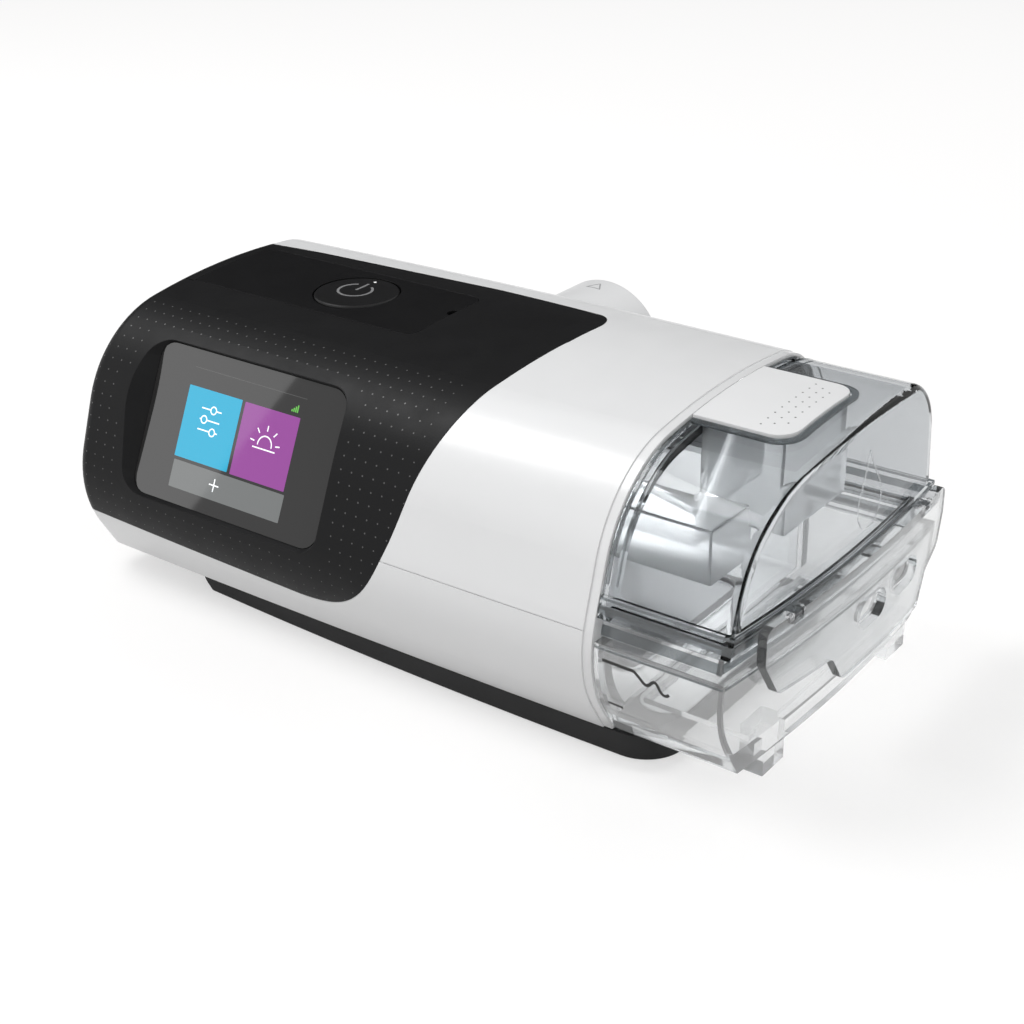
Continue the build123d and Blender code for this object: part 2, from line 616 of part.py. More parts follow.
def elbow_run(radius):
    """Round run from the bay's return port, round its bend, to the outlet."""
    with BuildPart() as tube:
        lengthwise(ELBOW_X, BAY_X - ELBOW_GAP, RETURN_Y, RETURN_Z, radius)
        with BuildSketch(Plane((OUTLET_X, ELBOW_END_Y, RETURN_Z), x_dir=(1, 0, 0), z_dir=(0, -1, 0))):
            Circle(radius)
        revolve(axis=Axis((ELBOW_X, ELBOW_END_Y, 0), (0, 0, 1)), revolution_arc=90)
    return tube.part


def hood_run(inset, z_low, z_high):
    """Flat form of the hood from the filter chamber to the blower's inlet, drawn in by inset."""
    with BuildPart() as hood:
        with BuildSketch(Plane.XY.offset(z_low)):
            with Locations((CHAMBER_X1 + HOOD_MOUTH_L / 2, (CHAMBER_Y0 + CHAMBER_Y1) / 2)):
                Rectangle(HOOD_MOUTH_L, CHAMBER_Y1 - CHAMBER_Y0 - 2 * (HOOD_MOUTH_IN + inset))
            with Locations((BLOWER_X, BLOWER_Y)):
                Circle(HOOD_R - inset)
            make_hull()
        extrude(amount=z_high - z_low)
    return hood.part


# ---- casing covers ---------------------------------------------------------------------------------------
SKIN = casing_solid(0.0)
CORE = casing_solid(WALL)
PANEL_CORE = casing_form(PANEL_T)
FASCIA_SPACE = fascia_field()
END_FACE = end_plane()

with BuildPart() as screen_frame:
    add(SKIN)
    add(screen_slab(-FRAME_LIP, -2 * FRAME_BACK, 3 * FRAME_BACK), mode=Mode.INTERSECT)

with BuildPart() as screen_opening:
    with BuildSketch(screen_plane(SCREEN_SEAT)):
        screen_outline(GLASS_MARGIN - SEAT_GAP)
    extrude(amount=SCREEN_SEAT)
    with BuildSketch(screen_plane(GLASS_SINK)):
        screen_outline(GLASS_MARGIN - SEAT_GAP)
    extrude(amount=2 * FRAME_BACK, taper=-BEVEL)

with BuildPart() as panel_pocket:
    add(panel_prism(SKIN_GAP))
    add(PANEL_CORE, mode=Mode.SUBTRACT)

with BuildPart() as front_fascia:
    add(SKIN)
    add(CORE, mode=Mode.SUBTRACT)
    add(FASCIA_SPACE, mode=Mode.INTERSECT)
    add(screen_frame.part)
    add(screen_opening.part, mode=Mode.SUBTRACT)
    add(screen_slab(DISPLAY_MARGIN, -FRAME_BACK, 3 * FRAME_BACK), mode=Mode.SUBTRACT)
    add(panel_pocket.part, mode=Mode.SUBTRACT)
    upright(BUTTON_X, BUTTON_Y, GUIDE_FLOOR_Z, TOP_Z + WALL, BUTTON_R + BUTTON_GAP, Mode.SUBTRACT)
    with BuildSketch(END_FACE):
        with Locations((0, FLAP_UP)):
            Rectangle(FLAP_W + 2 * DOOR_GAP, FLAP_H + 2 * DOOR_GAP)
    extrude(amount=2 * WALL, both=True, mode=Mode.SUBTRACT)
    with Locations(END_FACE * Location((FLAP_HINGE, FLAP_UP, -DOOR_SINK))):
        Cylinder(HINGE_PIN_R + HINGE_PIN_GAP, FLAP_H + 2 * (DOOR_GAP + HINGE_PIN_L),
                 rotation=(90, 0, 0), mode=Mode.SUBTRACT)
save(front_fascia, "front_fascia")

with BuildPart() as top_panel:
    add(panel_prism(0.0))
    add(SKIN, mode=Mode.INTERSECT)
    add(PANEL_CORE, mode=Mode.SUBTRACT)
    upright(BUTTON_X, BUTTON_Y, GUIDE_FLOOR_Z, TOP_Z + WALL, BUTTON_R + BUTTON_GAP, Mode.SUBTRACT)
    upright(PANEL_X1, NOTCH_Y, GUIDE_FLOOR_Z, TOP_Z + WALL, NOTCH_R, Mode.SUBTRACT)
save(top_panel, "top_panel")

with BuildPart() as white_shell:
    add(SKIN)
    add(CORE, mode=Mode.SUBTRACT)
    add(FASCIA_SPACE, mode=Mode.SUBTRACT)
    backwards(COLLAR_Y0 - COLLAR_GAP, OUTLET_END_Y, OUTLET_X, RETURN_Z, COLLAR_R + COLLAR_GAP, Mode.SUBTRACT)
    block(DOOR_HOLE_X, (CHAMBER_Y1, OUTLET_END_Y), DOOR_HOLE_Z, Mode.SUBTRACT)
    upright(DOOR_X0, DOOR_Y, DOOR_HOLE_Z[0] - HINGE_PIN_L, DOOR_HOLE_Z[1] + HINGE_PIN_L,
            HINGE_PIN_R + HINGE_PIN_GAP, Mode.SUBTRACT)

with BuildPart() as upper_housing:
    add(white_shell.part)
    split(bisect_by=Plane.XY.offset(PART_Z + SKIN_GAP / 2), keep=Keep.TOP)
save(upper_housing, "upper_housing")

with BuildPart() as lower_housing:
    add(white_shell.part)
    split(bisect_by=Plane.XY.offset(PART_Z - SKIN_GAP / 2), keep=Keep.BOTTOM)
    for x, y in SCREW_SPOTS:
        upright(x, y, BASE_Z + WALL / 2, BOARD_Z, SCREW_R + BOSS_WALL)
    for x, y in MOUNT_SPOTS:
        upright(x, y, BASE_Z + WALL / 2, POST_TOP_Z, MOUNT_R)
    for x in CARD_POST_X:
        upright(x, 0, BASE_Z + WALL / 2, CARD_Z - CARD_T / 2 - CARD_GAP - CARD_SOCKET_T, CARD_POST_R)
    for x, y in SCREW_SPOTS:
        upright(x, y, 0, BOARD_Z - SCREW_TIP_GAP, SCREW_R + SCREW_PILOT_GAP, Mode.SUBTRACT)
    add(heater_slab(HEATER_GAP, BASE_Z + INSULATOR_SKIN, FLOOR_Z + WALL), mode=Mode.SUBTRACT)
    backwards(POWER_BLOCK_END_Y, OUTLET_END_Y, POWER_X, POWER_Z, POWER_R + DOOR_GAP, Mode.SUBTRACT)
save(lower_housing, "lower_housing")

# ---- plinth, feet and screws ---------------------------------------------------------------------------
with BuildPart() as base_plinth:
    with BuildSketch(Plane.XY.offset(PLINTH_LIFT)) as plinth_outline:
        with BuildLine():
            ThreePointArc(*PLINTH_FRONT)
            Polyline(PLINTH_FRONT[-1], (PLINTH_FRONT[-1][0], PLINTH_REAR_Y),
                     (PLINTH_FRONT[0][0], PLINTH_REAR_Y), PLINTH_FRONT[0])
        make_face()
        fillet(plinth_outline.vertices().group_by(Axis.X)[-1], PLINTH_ROUND)
        fillet(plinth_outline.vertices().group_by(Axis.X)[0], PLINTH_ROUND / 2)
    extrude(amount=BASE_Z - PLINTH_TOP_GAP - PLINTH_LIFT)
    end_lean = math.radians(PLINTH_END_LEAN)
    end_normal = (math.cos(end_lean), 0, math.sin(end_lean))
    split(bisect_by=Plane(origin=(PLINTH_FRONT[0][0], 0, BASE_Z), z_dir=end_normal), keep=Keep.TOP)
    for x, y in FOOT_SPOTS:
        upright(x, y, 0, FOOT_T, FOOT_R + FOOT_GAP, Mode.SUBTRACT)
    for x, y in SCREW_SPOTS:
        upright(x, y, 0, SCREW_HEAD_Z + SCREW_HEAD_T, SCREW_HEAD_R + POCKET_GAP, Mode.SUBTRACT)
        upright(x, y, 0, BASE_Z, SCREW_R + SCREW_PILOT_GAP, Mode.SUBTRACT)
save(base_plinth, "base_plinth")

with BuildPart() as rubber_feet:
    for x, y in FOOT_SPOTS:
        upright(x, y, 0, FOOT_T, FOOT_R)
save(rubber_feet, "rubber_feet")

with BuildPart() as housing_screws:
    for x, y in SCREW_SPOTS:
        upright(x, y, SCREW_HEAD_Z, SCREW_HEAD_Z + SCREW_HEAD_T, SCREW_HEAD_R)
        upright(x, y, SCREW_HEAD_Z, BOARD_Z - 2 * SCREW_TIP_GAP, SCREW_R)
save(housing_screws, "housing_screws")

# ---- tub bay, heater and ports --------------------------------------------------------------------------
with BuildPart() as tub_rim:
    add(run(SEAM_X, SEAM_X + RIM_L, RIM_INSET))
    add(run(SEAM_X, SEAM_X + RIM_L, BAY_INSET), mode=Mode.SUBTRACT)
save(tub_rim, "tub_rim")

with BuildPart() as dock_liner:
    add(run(BAY_X, SEAM_X, LINER_INSET))
    add(run(BAY_X + LINER_T, SEAM_X, BAY_INSET), mode=Mode.SUBTRACT)
    lengthwise(BAY_X, BAY_X + LINER_T, INLET_Y, INLET_Z, INLET_R, Mode.SUBTRACT)
    lengthwise(BAY_X, BAY_X + LINER_T, RETURN_Y, RETURN_Z, RETURN_R, Mode.SUBTRACT)
    add(heater_slab(HEATER_GAP, BASE_Z, HEATER_TOP_Z), mode=Mode.SUBTRACT)
save(dock_liner, "dock_liner")

with BuildPart() as dock_heater_plate:
    add(heater_slab(0.0, HEATER_TOP_Z - HEATER_T, HEATER_TOP_Z))
save(dock_heater_plate, "dock_heater_plate")

with BuildPart() as heater_element:
    add(heater_slab(-ELEMENT_MARGIN, ELEMENT_Z, ELEMENT_Z + ELEMENT_T))
save(heater_element, "heater_element")

with BuildPart() as heater_insulator:
    add(heater_slab(0.0, BASE_Z + INSULATOR_SKIN, ELEMENT_Z))
save(heater_insulator, "heater_insulator")

PORTS = {"dock_inlet_seal": (INLET_Y, INLET_Z, INLET_R), "dock_outlet_seal": (RETURN_Y, RETURN_Z, RETURN_R)}
for label, (y, z, radius) in PORTS.items():
    with BuildPart() as port_seal:
        lengthwise(BAY_X + LINER_T, BAY_X + LINER_T + PORT_SEAL_T, y, z, radius + PORT_SEAL_W)
        lengthwise(BAY_X + LINER_T, BAY_X + LINER_T + PORT_SEAL_T, y, z, radius, Mode.SUBTRACT)
    save(port_seal, label)

# ---- air outlet -------------------------------------------------------------------------------------------
with BuildPart() as outlet_elbow:
    add(elbow_run(TUBE_R))
    backwards(ELBOW_END_Y - SOCKET_FLOOR, ELBOW_END_Y + SOCKET_L, OUTLET_X, RETURN_Z,
              HOSE_R + SOCKET_GAP + SOCKET_WALL)
    add(elbow_run(RETURN_R), mode=Mode.SUBTRACT)
    backwards(ELBOW_END_Y, ELBOW_END_Y + SOCKET_L, OUTLET_X, RETURN_Z, HOSE_R + SOCKET_GAP, Mode.SUBTRACT)
save(outlet_elbow, "outlet_elbow")

with BuildPart() as outlet_connector:
    backwards(COLLAR_Y0, COLLAR_Y1, OUTLET_X, RETURN_Z, COLLAR_R)
    for y_low, y_high in ((COLLAR_Y0, COLLAR_WEB_Y), (COLLAR_WEB_Y + COLLAR_WEB_T, COLLAR_Y1)):
        backwards(y_low, y_high, OUTLET_X, RETURN_Z, COLLAR_R - COLLAR_WALL, Mode.SUBTRACT)
    backwards(PORT_Y, OUTLET_END_Y, OUTLET_X, RETURN_Z, HOSE_R)
    backwards(PORT_Y, OUTLET_END_Y, OUTLET_X, RETURN_Z, HOSE_R - PORT_WALL, Mode.SUBTRACT)
    with BuildSketch(Plane.XZ.offset(-RING_Y)):
        with Locations((OUTLET_X, RETURN_Z)):
            Circle(HOSE_R)
            Circle(HOSE_R - RING_SINK, mode=Mode.SUBTRACT)
    extrude(amount=-RING_W, mode=Mode.SUBTRACT)
save(outlet_connector, "outlet_connector")

with BuildPart() as outlet_o_ring:
    backwards(RING_Y + RING_GAP, RING_Y + RING_W - RING_GAP, OUTLET_X, RETURN_Z, HOSE_R + SOCKET_GAP / 2)
    backwards(RING_Y, RING_Y + RING_W, OUTLET_X, RETURN_Z, HOSE_R - RING_SINK, Mode.SUBTRACT)
save(outlet_o_ring, "outlet_o_ring")

# ---- screen ------------------------------------------------------------------------------------------------
with BuildPart() as screen_glass:
    add(screen_slab(GLASS_MARGIN, GLASS_SINK, GLASS_T))
save(screen_glass, "screen_glass")

with BuildPart() as screen_gasket:
    add(screen_slab(GLASS_MARGIN, GLASS_SINK + GLASS_T, GASKET_T))
    add(screen_slab(DISPLAY_MARGIN - SEAT_GAP, GLASS_SINK + GLASS_T, GASKET_T), mode=Mode.SUBTRACT)
save(screen_gasket, "screen_gasket")

with BuildPart() as display_panel:
    add(screen_slab(DISPLAY_MARGIN + SEAT_GAP, GLASS_SINK + GLASS_T + SEAT_GAP, DISPLAY_T))
save(display_panel, "display_panel")

with BuildPart() as display_bracket:
    add(screen_slab(DISPLAY_MARGIN - BRACKET_OVER, FRAME_BACK, BRACKET_T))
save(display_bracket, "display_bracket")

with BuildPart() as display_ribbon:
    with BuildSketch(Plane.YZ.offset(RIBBON_X - RIBBON_W / 2)):
        with BuildLine():
            FilletPolyline(*RIBBON_PATH, radius=RIBBON_BEND_R)
        trace(line_width=RIBBON_T)
    extrude(amount=RIBBON_W)
save(display_ribbon, "display_ribbon")

# ---- start button ------------------------------------------------------------------------------------------
with BuildPart() as button_guide:
    upright(BUTTON_X, BUTTON_Y, GUIDE_FLOOR_Z, GUIDE_TOP_Z, GUIDE_R)
    upright(BUTTON_X, BUTTON_Y, BUTTON_BOARD_Z, GUIDE_TOP_Z, GUIDE_R - GUIDE_WALL, Mode.SUBTRACT)
save(button_guide, "button_guide")

with BuildPart() as button_board:
    upright(BUTTON_X, BUTTON_Y, BUTTON_BOARD_Z, SWITCH_Z, BUTTON_BOARD_R)
save(button_board, "button_board")

with BuildPart() as button_switch:
    block(around(BUTTON_X, SWITCH_SIDE), around(BUTTON_Y, SWITCH_SIDE), (SWITCH_Z, SWITCH_Z + SWITCH_T))
    upright(BUTTON_X, BUTTON_Y, SWITCH_Z, PLUNGER_Z, PLUNGER_R)
save(button_switch, "button_switch")

with BuildPart() as button_spring:
    upright(BUTTON_X, BUTTON_Y, SWITCH_Z, BUTTON_FLANGE_Z - SPRING_GAP, SPRING_R)
    upright(BUTTON_X, BUTTON_Y, SWITCH_Z, BUTTON_FLANGE_Z, SPRING_R - SPRING_W, Mode.SUBTRACT)
save(button_spring, "button_spring")

with BuildPart() as start_button:
    upright(BUTTON_X, BUTTON_Y, BUTTON_CAP_Z, BUTTON_TOP_Z, BUTTON_R)
    fillet(start_button.edges().sort_by(Axis.Z)[-1], BUTTON_EDGE_R)
    dish_r = (BUTTON_R ** 2 + BUTTON_DISH ** 2) / (2 * BUTTON_DISH)
    with Locations((BUTTON_X, BUTTON_Y, BUTTON_TOP_Z - BUTTON_DISH + dish_r)):
        Sphere(dish_r, mode=Mode.SUBTRACT)
    upright(BUTTON_X, BUTTON_Y, BUTTON_FLANGE_Z, BUTTON_CAP_Z, BUTTON_FLANGE_R)
    upright(BUTTON_X, BUTTON_Y, PLUNGER_Z + BUTTON_TRAVEL + STEM_GAP, BUTTON_CAP_Z, STEM_R)
save(start_button, "start_button")

# ---- tub and lid -------------------------------------------------------------------------------------------
with BuildPart() as tub_base:
    add(tub_form(TUB_INSET, TUB_X0, TUB_BASE_Z, TUB_RIM_Z))
    add(tub_form(TUB_SKIRT_INSET, LID_X0, BASE_Z, STEP_Z, -SKIRT_LEAN, STEP_Z))
    add(tub_form(TUB_INSET + TUB_WALL, TUB_X0 + TUB_WALL, TUB_FLOOR_Z, LID_FOOT_Z), mode=Mode.SUBTRACT)
    add(tub_form(TUB_SKIRT_INSET + TUB_WALL, LID_X0 + TUB_WALL, TUB_FLOOR_Z, STEP_Z - TUB_WALL,
                 -SKIRT_LEAN, STEP_Z), mode=Mode.SUBTRACT)
    block(HOLLOW_X, HOLLOW_Y, (0, TUB_BASE_Z), Mode.SUBTRACT)
    add(heater_slab(PLATE_MARGIN + PLATE_GAP, BASE_Z, REBATE_Z), mode=Mode.SUBTRACT)
    add(heater_slab(PLATE_MARGIN - PLATE_LEDGE, BASE_Z, TUB_FLOOR_Z), mode=Mode.SUBTRACT)
    for x, y in TUB_FOOT_SPOTS:
        block(around(x, TUB_FOOT_SIZE[0]), around(y, TUB_FOOT_SIZE[1]), (0, TUB_FLOOR_Z))
    for y, z in WINDOW_SPOTS:
        with BuildSketch(Plane.YZ.offset(end_x(LID_INSET - LATCH_OFF, y) + STUD_OUT)):
            with Locations((y, z)):
                SlotOverall(WINDOW_L - 2 * STUD_GAP, WINDOW_H - 2 * STUD_GAP)
        extrude(amount=-(LATCH_OFF + STUD_OUT + TUB_WALL - LID_INSET + TUB_SKIRT_INSET))
save(tub_base, "tub_base")

with BuildPart() as tub_heat_plate:
    add(heater_slab(PLATE_MARGIN, PLATE_Z, PLATE_Z + PLATE_T))
save(tub_heat_plate, "tub_heat_plate")

with BuildPart() as tub_seal:
    add(heater_slab(PLATE_MARGIN, PLATE_SEAL_Z, REBATE_Z))
    add(heater_slab(PLATE_MARGIN - PLATE_LEDGE, PLATE_SEAL_Z, REBATE_Z), mode=Mode.SUBTRACT)
save(tub_seal, "tub_seal")

with BuildPart() as lid_seal:
    add(tub_form(TUB_INSET + SEAL_IN, TUB_X0 + SEAL_IN, TUB_RIM_Z, LID_FOOT_Z))
    add(tub_form(TUB_INSET + SEAL_IN + SEAL_W, TUB_X0 + SEAL_IN + SEAL_W, TUB_RIM_Z, LID_FOOT_Z),
        mode=Mode.SUBTRACT)
save(lid_seal, "lid_seal")

with BuildPart() as lid_dome:
    add(tub_form(LID_INSET, LID_X0, LID_FOOT_Z, TOP_Z, LID_LEAN, LID_FOOT_Z))
    end_edges = lid_dome.faces().sort_by(Axis.X)[-1].edges()
    fillet(end_edges.group_by(Axis.Z)[-1], LID_END_ROUND)

with BuildPart() as pad_pocket:
    add(pad_prism(SEAM_X, SKIN_GAP))
    add(run(SEAM_X, TUB_END_X, PAD_INSET + PAD_T), mode=Mode.SUBTRACT)

with BuildPart() as tub_lid:
    add(lid_dome.part)
    add(tub_form(TUB_INSET, TUB_X0, LID_FOOT_Z, TOP_Z, LID_LEAN, LID_FOOT_Z))
    add(tub_form(FLANGE_INSET, LID_X0, LID_FOOT_Z, FLANGE_TOP_Z))
    add(tub_form(TUB_INSET + TUB_WALL, TUB_X0 + TUB_WALL, LID_FOOT_Z - SEAL_T, TOP_Z, LID_LEAN, LID_FOOT_Z),
        mode=Mode.SUBTRACT)
    add(tub_form(LID_INSET + TUB_WALL, LID_X0 + TUB_WALL, LID_FOOT_Z + TUB_WALL, TOP_Z, LID_LEAN, LID_FOOT_Z),
        mode=Mode.SUBTRACT)
    add(pad_pocket.part, mode=Mode.SUBTRACT)
    lengthwise(TUB_X0, TUB_X0 + TUB_WALL, INLET_Y, INLET_Z, INLET_R, Mode.SUBTRACT)
    lengthwise(TUB_X0, TUB_X0 + TUB_WALL, RETURN_Y, RETURN_Z, RETURN_R, Mode.SUBTRACT)
    for y in (-PIVOT_Y, PIVOT_Y):
        block((TUB_END_X - TUB_WALL, PIVOT_X), around(y, LUG_W), around(PIVOT_Z, 2 * LUG_R))
        backwards(y - LUG_W / 2, y + LUG_W / 2, PIVOT_X, PIVOT_Z, LUG_R)
        backwards(y - LUG_W / 2, y + LUG_W / 2, PIVOT_X, PIVOT_Z, PIN_R, Mode.SUBTRACT)
save(tub_lid, "tub_lid")

with BuildPart() as thumb_pad:
    add(pad_prism(LID_X0, 0.0))
    add(run(LID_X0, TUB_END_X, PAD_INSET), mode=Mode.INTERSECT)
    add(run(LID_X0, TUB_END_X, PAD_INSET + PAD_T), mode=Mode.SUBTRACT)
save(thumb_pad, "thumb_pad")

with BuildPart() as lid_duct:
    block(DUCT_X, DUCT_Y, (DUCT_LOW_Z, TOP_Z))
    block((LID_X0, DUCT_TURN_X), (INLET_RUN_Y[0], DUCT_Y[0] + DUCT_WALL), INLET_RUN_Z)
    add(tub_form(LID_INSET + TUB_WALL, DUCT_X[0], LID_FOOT_Z, TOP_Z, LID_LEAN, LID_FOOT_Z),
        mode=Mode.INTERSECT)
    block((TUB_X0 + TUB_WALL, DUCT_TURN_X), INLET_RUN_Y, INLET_RUN_Z)
    block(shrink(DUCT_X), shrink(DUCT_Y), (DUCT_LOW_Z, TOP_Z), Mode.SUBTRACT)
    block((TUB_X0, DUCT_TURN_X - DUCT_WALL), shrink(INLET_RUN_Y), shrink(INLET_RUN_Z), Mode.SUBTRACT)
    block((DUCT_X[0] + DUCT_WALL, DUCT_TURN_X - DUCT_WALL), (INLET_Y, DUCT_Y[0] + 2 * DUCT_WALL),
          shrink(INLET_RUN_Z), Mode.SUBTRACT)
save(lid_duct, "lid_duct")

with BuildPart() as tub_latch:
    add(end_space(LID_INSET - LATCH_OFF - LATCH_T, BASE_Z, TOP_Z))
    add(end_space(LID_INSET - LATCH_OFF, BASE_Z, TOP_Z), mode=Mode.SUBTRACT)
    with BuildSketch(Plane.YZ.offset(TUB_END_X - 2 * LATCH_T)) as latch_outline:
        with BuildLine():
            Polyline(*((y, FLANGE_TOP_Z + drop) for y, drop in LATCH_LEFT + LATCH_RIGHT), close=True)
        make_face()
        fillet(latch_outline.vertices(), LATCH_ROUND)
        with Locations(*WINDOW_SPOTS):
            SlotOverall(WINDOW_L, WINDOW_H, mode=Mode.SUBTRACT)
        with Locations((-PIVOT_Y, PIVOT_Z), (PIVOT_Y, PIVOT_Z)):
            Rectangle(LUG_W + 2 * LUG_GAP, 2 * (LUG_R + LUG_GAP), mode=Mode.SUBTRACT)
    extrude(amount=4 * LATCH_T, mode=Mode.INTERSECT)
    for y in (-PIVOT_Y, PIVOT_Y):
        backwards(y - PIN_L / 2 - PIN_GAP, y + PIN_L / 2 + PIN_GAP, PIVOT_X, PIVOT_Z, PIN_R + PIN_GAP,
                  Mode.SUBTRACT)
save(tub_latch, "tub_latch")

with BuildPart() as latch_pins:
    for y in (-PIVOT_Y, PIVOT_Y):
        backwards(y - PIN_L / 2, y + PIN_L / 2, PIVOT_X, PIVOT_Z, PIN_R)
save(latch_pins, "latch_pins")

# ---- filter, its cover and the air path behind it -------------------------------------------------------
with BuildPart() as filter_cover:
    add(SKIN)
    block((DOOR_X0, DOOR_X1), (CHAMBER_Y1, OUTLET_END_Y), (DOOR_Z0, DOOR_Z1), Mode.INTERSECT)
    add(casing_form(DOOR_T), mode=Mode.SUBTRACT)
    upright(DOOR_X0, DOOR_Y, DOOR_Z0, DOOR_Z1, KNUCKLE_R)
    upright(DOOR_X0, DOOR_Y, DOOR_Z0 - HINGE_PIN_L, DOOR_Z1 + HINGE_PIN_L, HINGE_PIN_R)
save(filter_cover, "filter_cover")

with BuildPart() as filter_chamber:
    block((CHAMBER_X0, CHAMBER_X1), (CHAMBER_Y0, CHAMBER_Y1), (CHAMBER_Z0, CHAMBER_Z1))
    block((CHAMBER_X0 + CHAMBER_WALL, CHAMBER_X1 - CHAMBER_WALL),
          (CHAMBER_Y0 + CHAMBER_WALL, CHAMBER_Y1 - CHAMBER_WALL),
          (CHAMBER_Z0 + CHAMBER_WALL, CHAMBER_Z1 - CHAMBER_WALL), Mode.SUBTRACT)
    block((DOOR_X0 + FILTER_MARGIN + FILTER_LEDGE, DOOR_X1 - FILTER_MARGIN - FILTER_LEDGE),
          (CHAMBER_Y1 - CHAMBER_WALL, CHAMBER_Y1),
          (DOOR_Z0 + FILTER_MARGIN + FILTER_LEDGE, DOOR_Z1 - FILTER_MARGIN - FILTER_LEDGE), Mode.SUBTRACT)
    block((CHAMBER_X1 - CHAMBER_WALL, CHAMBER_X1),
          (CHAMBER_Y0 + HOOD_MOUTH_IN + HOOD_WALL, CHAMBER_Y1 - HOOD_MOUTH_IN - HOOD_WALL),
          (HOOD_Z[0] + HOOD_WALL, CHAMBER_Z1 - CHAMBER_WALL), Mode.SUBTRACT)
save(filter_chamber, "filter_chamber")

with BuildPart() as air_filter:
    block((DOOR_X0 + FILTER_MARGIN, DOOR_X1 - FILTER_MARGIN), (CHAMBER_Y1, CHAMBER_Y1 + FILTER_T),
          (DOOR_Z0 + FILTER_MARGIN, DOOR_Z1 - FILTER_MARGIN))
save(air_filter, "air_filter")

with BuildPart() as muffler_foam:
    block((CHAMBER_X0 + CHAMBER_WALL + FOAM_GAP, CHAMBER_X1 - CHAMBER_WALL - FOAM_GAP),
          (CHAMBER_Y0 + CHAMBER_WALL + FOAM_GAP, FOAM_Y1), (CHAMBER_Z0 + CHAMBER_WALL, FOAM_TOP_Z))
save(muffler_foam, "muffler_foam")

with BuildPart() as inlet_duct:
    add(hood_run(0.0, *HOOD_Z))
    add(hood_run(HOOD_WALL, HOOD_Z[0] + HOOD_WALL, HOOD_Z[1] - HOOD_WALL), mode=Mode.SUBTRACT)
    upright(BLOWER_X, BLOWER_Y, HOOD_Z[0], HOOD_Z[0] + HOOD_WALL, BLOWER_IN_R, Mode.SUBTRACT)
save(inlet_duct, "inlet_duct")

# ---- card slot ---------------------------------------------------------------------------------------------
with BuildPart() as card_cover:
    with BuildSketch(END_FACE):
        with Locations(((FLAP_HINGE - FLAP_Y) / 2, FLAP_UP)):
            Rectangle(FLAP_HINGE + FLAP_Y, FLAP_H)
    extrude(amount=-FLAP_T)
    with Locations(END_FACE * Location((FLAP_HINGE, FLAP_UP, -DOOR_SINK))):
        Cylinder(KNUCKLE_R, FLAP_H, rotation=(90, 0, 0))
        Cylinder(HINGE_PIN_R, FLAP_H + 2 * HINGE_PIN_L, rotation=(90, 0, 0))
save(card_cover, "card_cover")

with BuildPart() as card_socket:
    block((SOCKET_X0, SOCKET_X0 + CARD_SOCKET_L), around(0, CARD_W + 2 * (CARD_GAP + CARD_SOCKET_T)),
          around(CARD_Z, CARD_T + 2 * (CARD_GAP + CARD_SOCKET_T)))
    block((SOCKET_X0, SOCKET_X0 + CARD_SOCKET_L), around(0, CARD_W + 2 * CARD_GAP),
          around(CARD_Z, CARD_T + 2 * CARD_GAP), Mode.SUBTRACT)
save(card_socket, "card_socket")

with BuildPart() as memory_card:
    block((CARD_X0, CARD_X0 + CARD_L), around(0, CARD_W), around(CARD_Z, CARD_T))
save(memory_card, "memory_card")

# ---- blower ------------------------------------------------------------------------------------------------
with BuildPart() as blower_case:
    upright(BLOWER_X, BLOWER_Y, BLOWER_Z0, BLOWER_Z1, BLOWER_R)
    block((BLOWER_X, CHANNEL_END_X), CHANNEL_Y, around(INLET_Z, CHANNEL_SIDE))
    upright(BLOWER_X, BLOWER_Y, BLOWER_Z0 + BLOWER_WALL, BLOWER_Z1 - BLOWER_WALL, BLOWER_R - BLOWER_WALL,
            Mode.SUBTRACT)
    upright(BLOWER_X, BLOWER_Y, BLOWER_Z1 - BLOWER_WALL, BLOWER_Z1, BLOWER_IN_R, Mode.SUBTRACT)
    lengthwise(BLOWER_X, CHANNEL_END_X, INLET_Y, INLET_Z, CHANNEL_BORE_R, Mode.SUBTRACT)

with BuildPart() as blower_lower:
    add(blower_case.part)
    split(bisect_by=Plane.XY.offset(INLET_Z), keep=Keep.BOTTOM)
save(blower_lower, "blower_lower")

with BuildPart() as blower_upper:
    add(blower_case.part)
    split(bisect_by=Plane.XY.offset(INLET_Z), keep=Keep.TOP)
save(blower_upper, "blower_upper")

with BuildPart() as blower_mounts:
    for x, y in MOUNT_SPOTS:
        upright(x, y, POST_TOP_Z, BLOWER_Z0, MOUNT_R)
save(blower_mounts, "blower_mounts")

with BuildPart() as blower_duct:
    lengthwise(CHANNEL_END_X + BELLOWS_GAP, BAY_X - BELLOWS_GAP, INLET_Y, INLET_Z, BELLOWS_R)
    lengthwise(CHANNEL_END_X, BAY_X, INLET_Y, INLET_Z, BELLOWS_R - BELLOWS_WALL, Mode.SUBTRACT)
save(blower_duct, "blower_duct")

with BuildPart() as motor_stator:
    upright(BLOWER_X, BLOWER_Y, MOTOR_Z0, MOTOR_Z1, MOTOR_R)
    upright(BLOWER_X, BLOWER_Y, MOTOR_Z0, MOTOR_Z1, BEARING_R, Mode.SUBTRACT)
    upright(BLOWER_X, BLOWER_Y, MOTOR_Z0 + MOTOR_CAP_T, MOTOR_Z1 - MOTOR_CAP_T, MOTOR_BORE_R, Mode.SUBTRACT)
save(motor_stator, "motor_stator")

with BuildPart() as motor_bearings:
    for z in (MOTOR_Z0, MOTOR_Z1 - BEARING_T):
        upright(BLOWER_X, BLOWER_Y, z, z + BEARING_T, BEARING_R)
        upright(BLOWER_X, BLOWER_Y, z, z + BEARING_T, SHAFT_R + SHAFT_GAP, Mode.SUBTRACT)
save(motor_bearings, "motor_bearings")

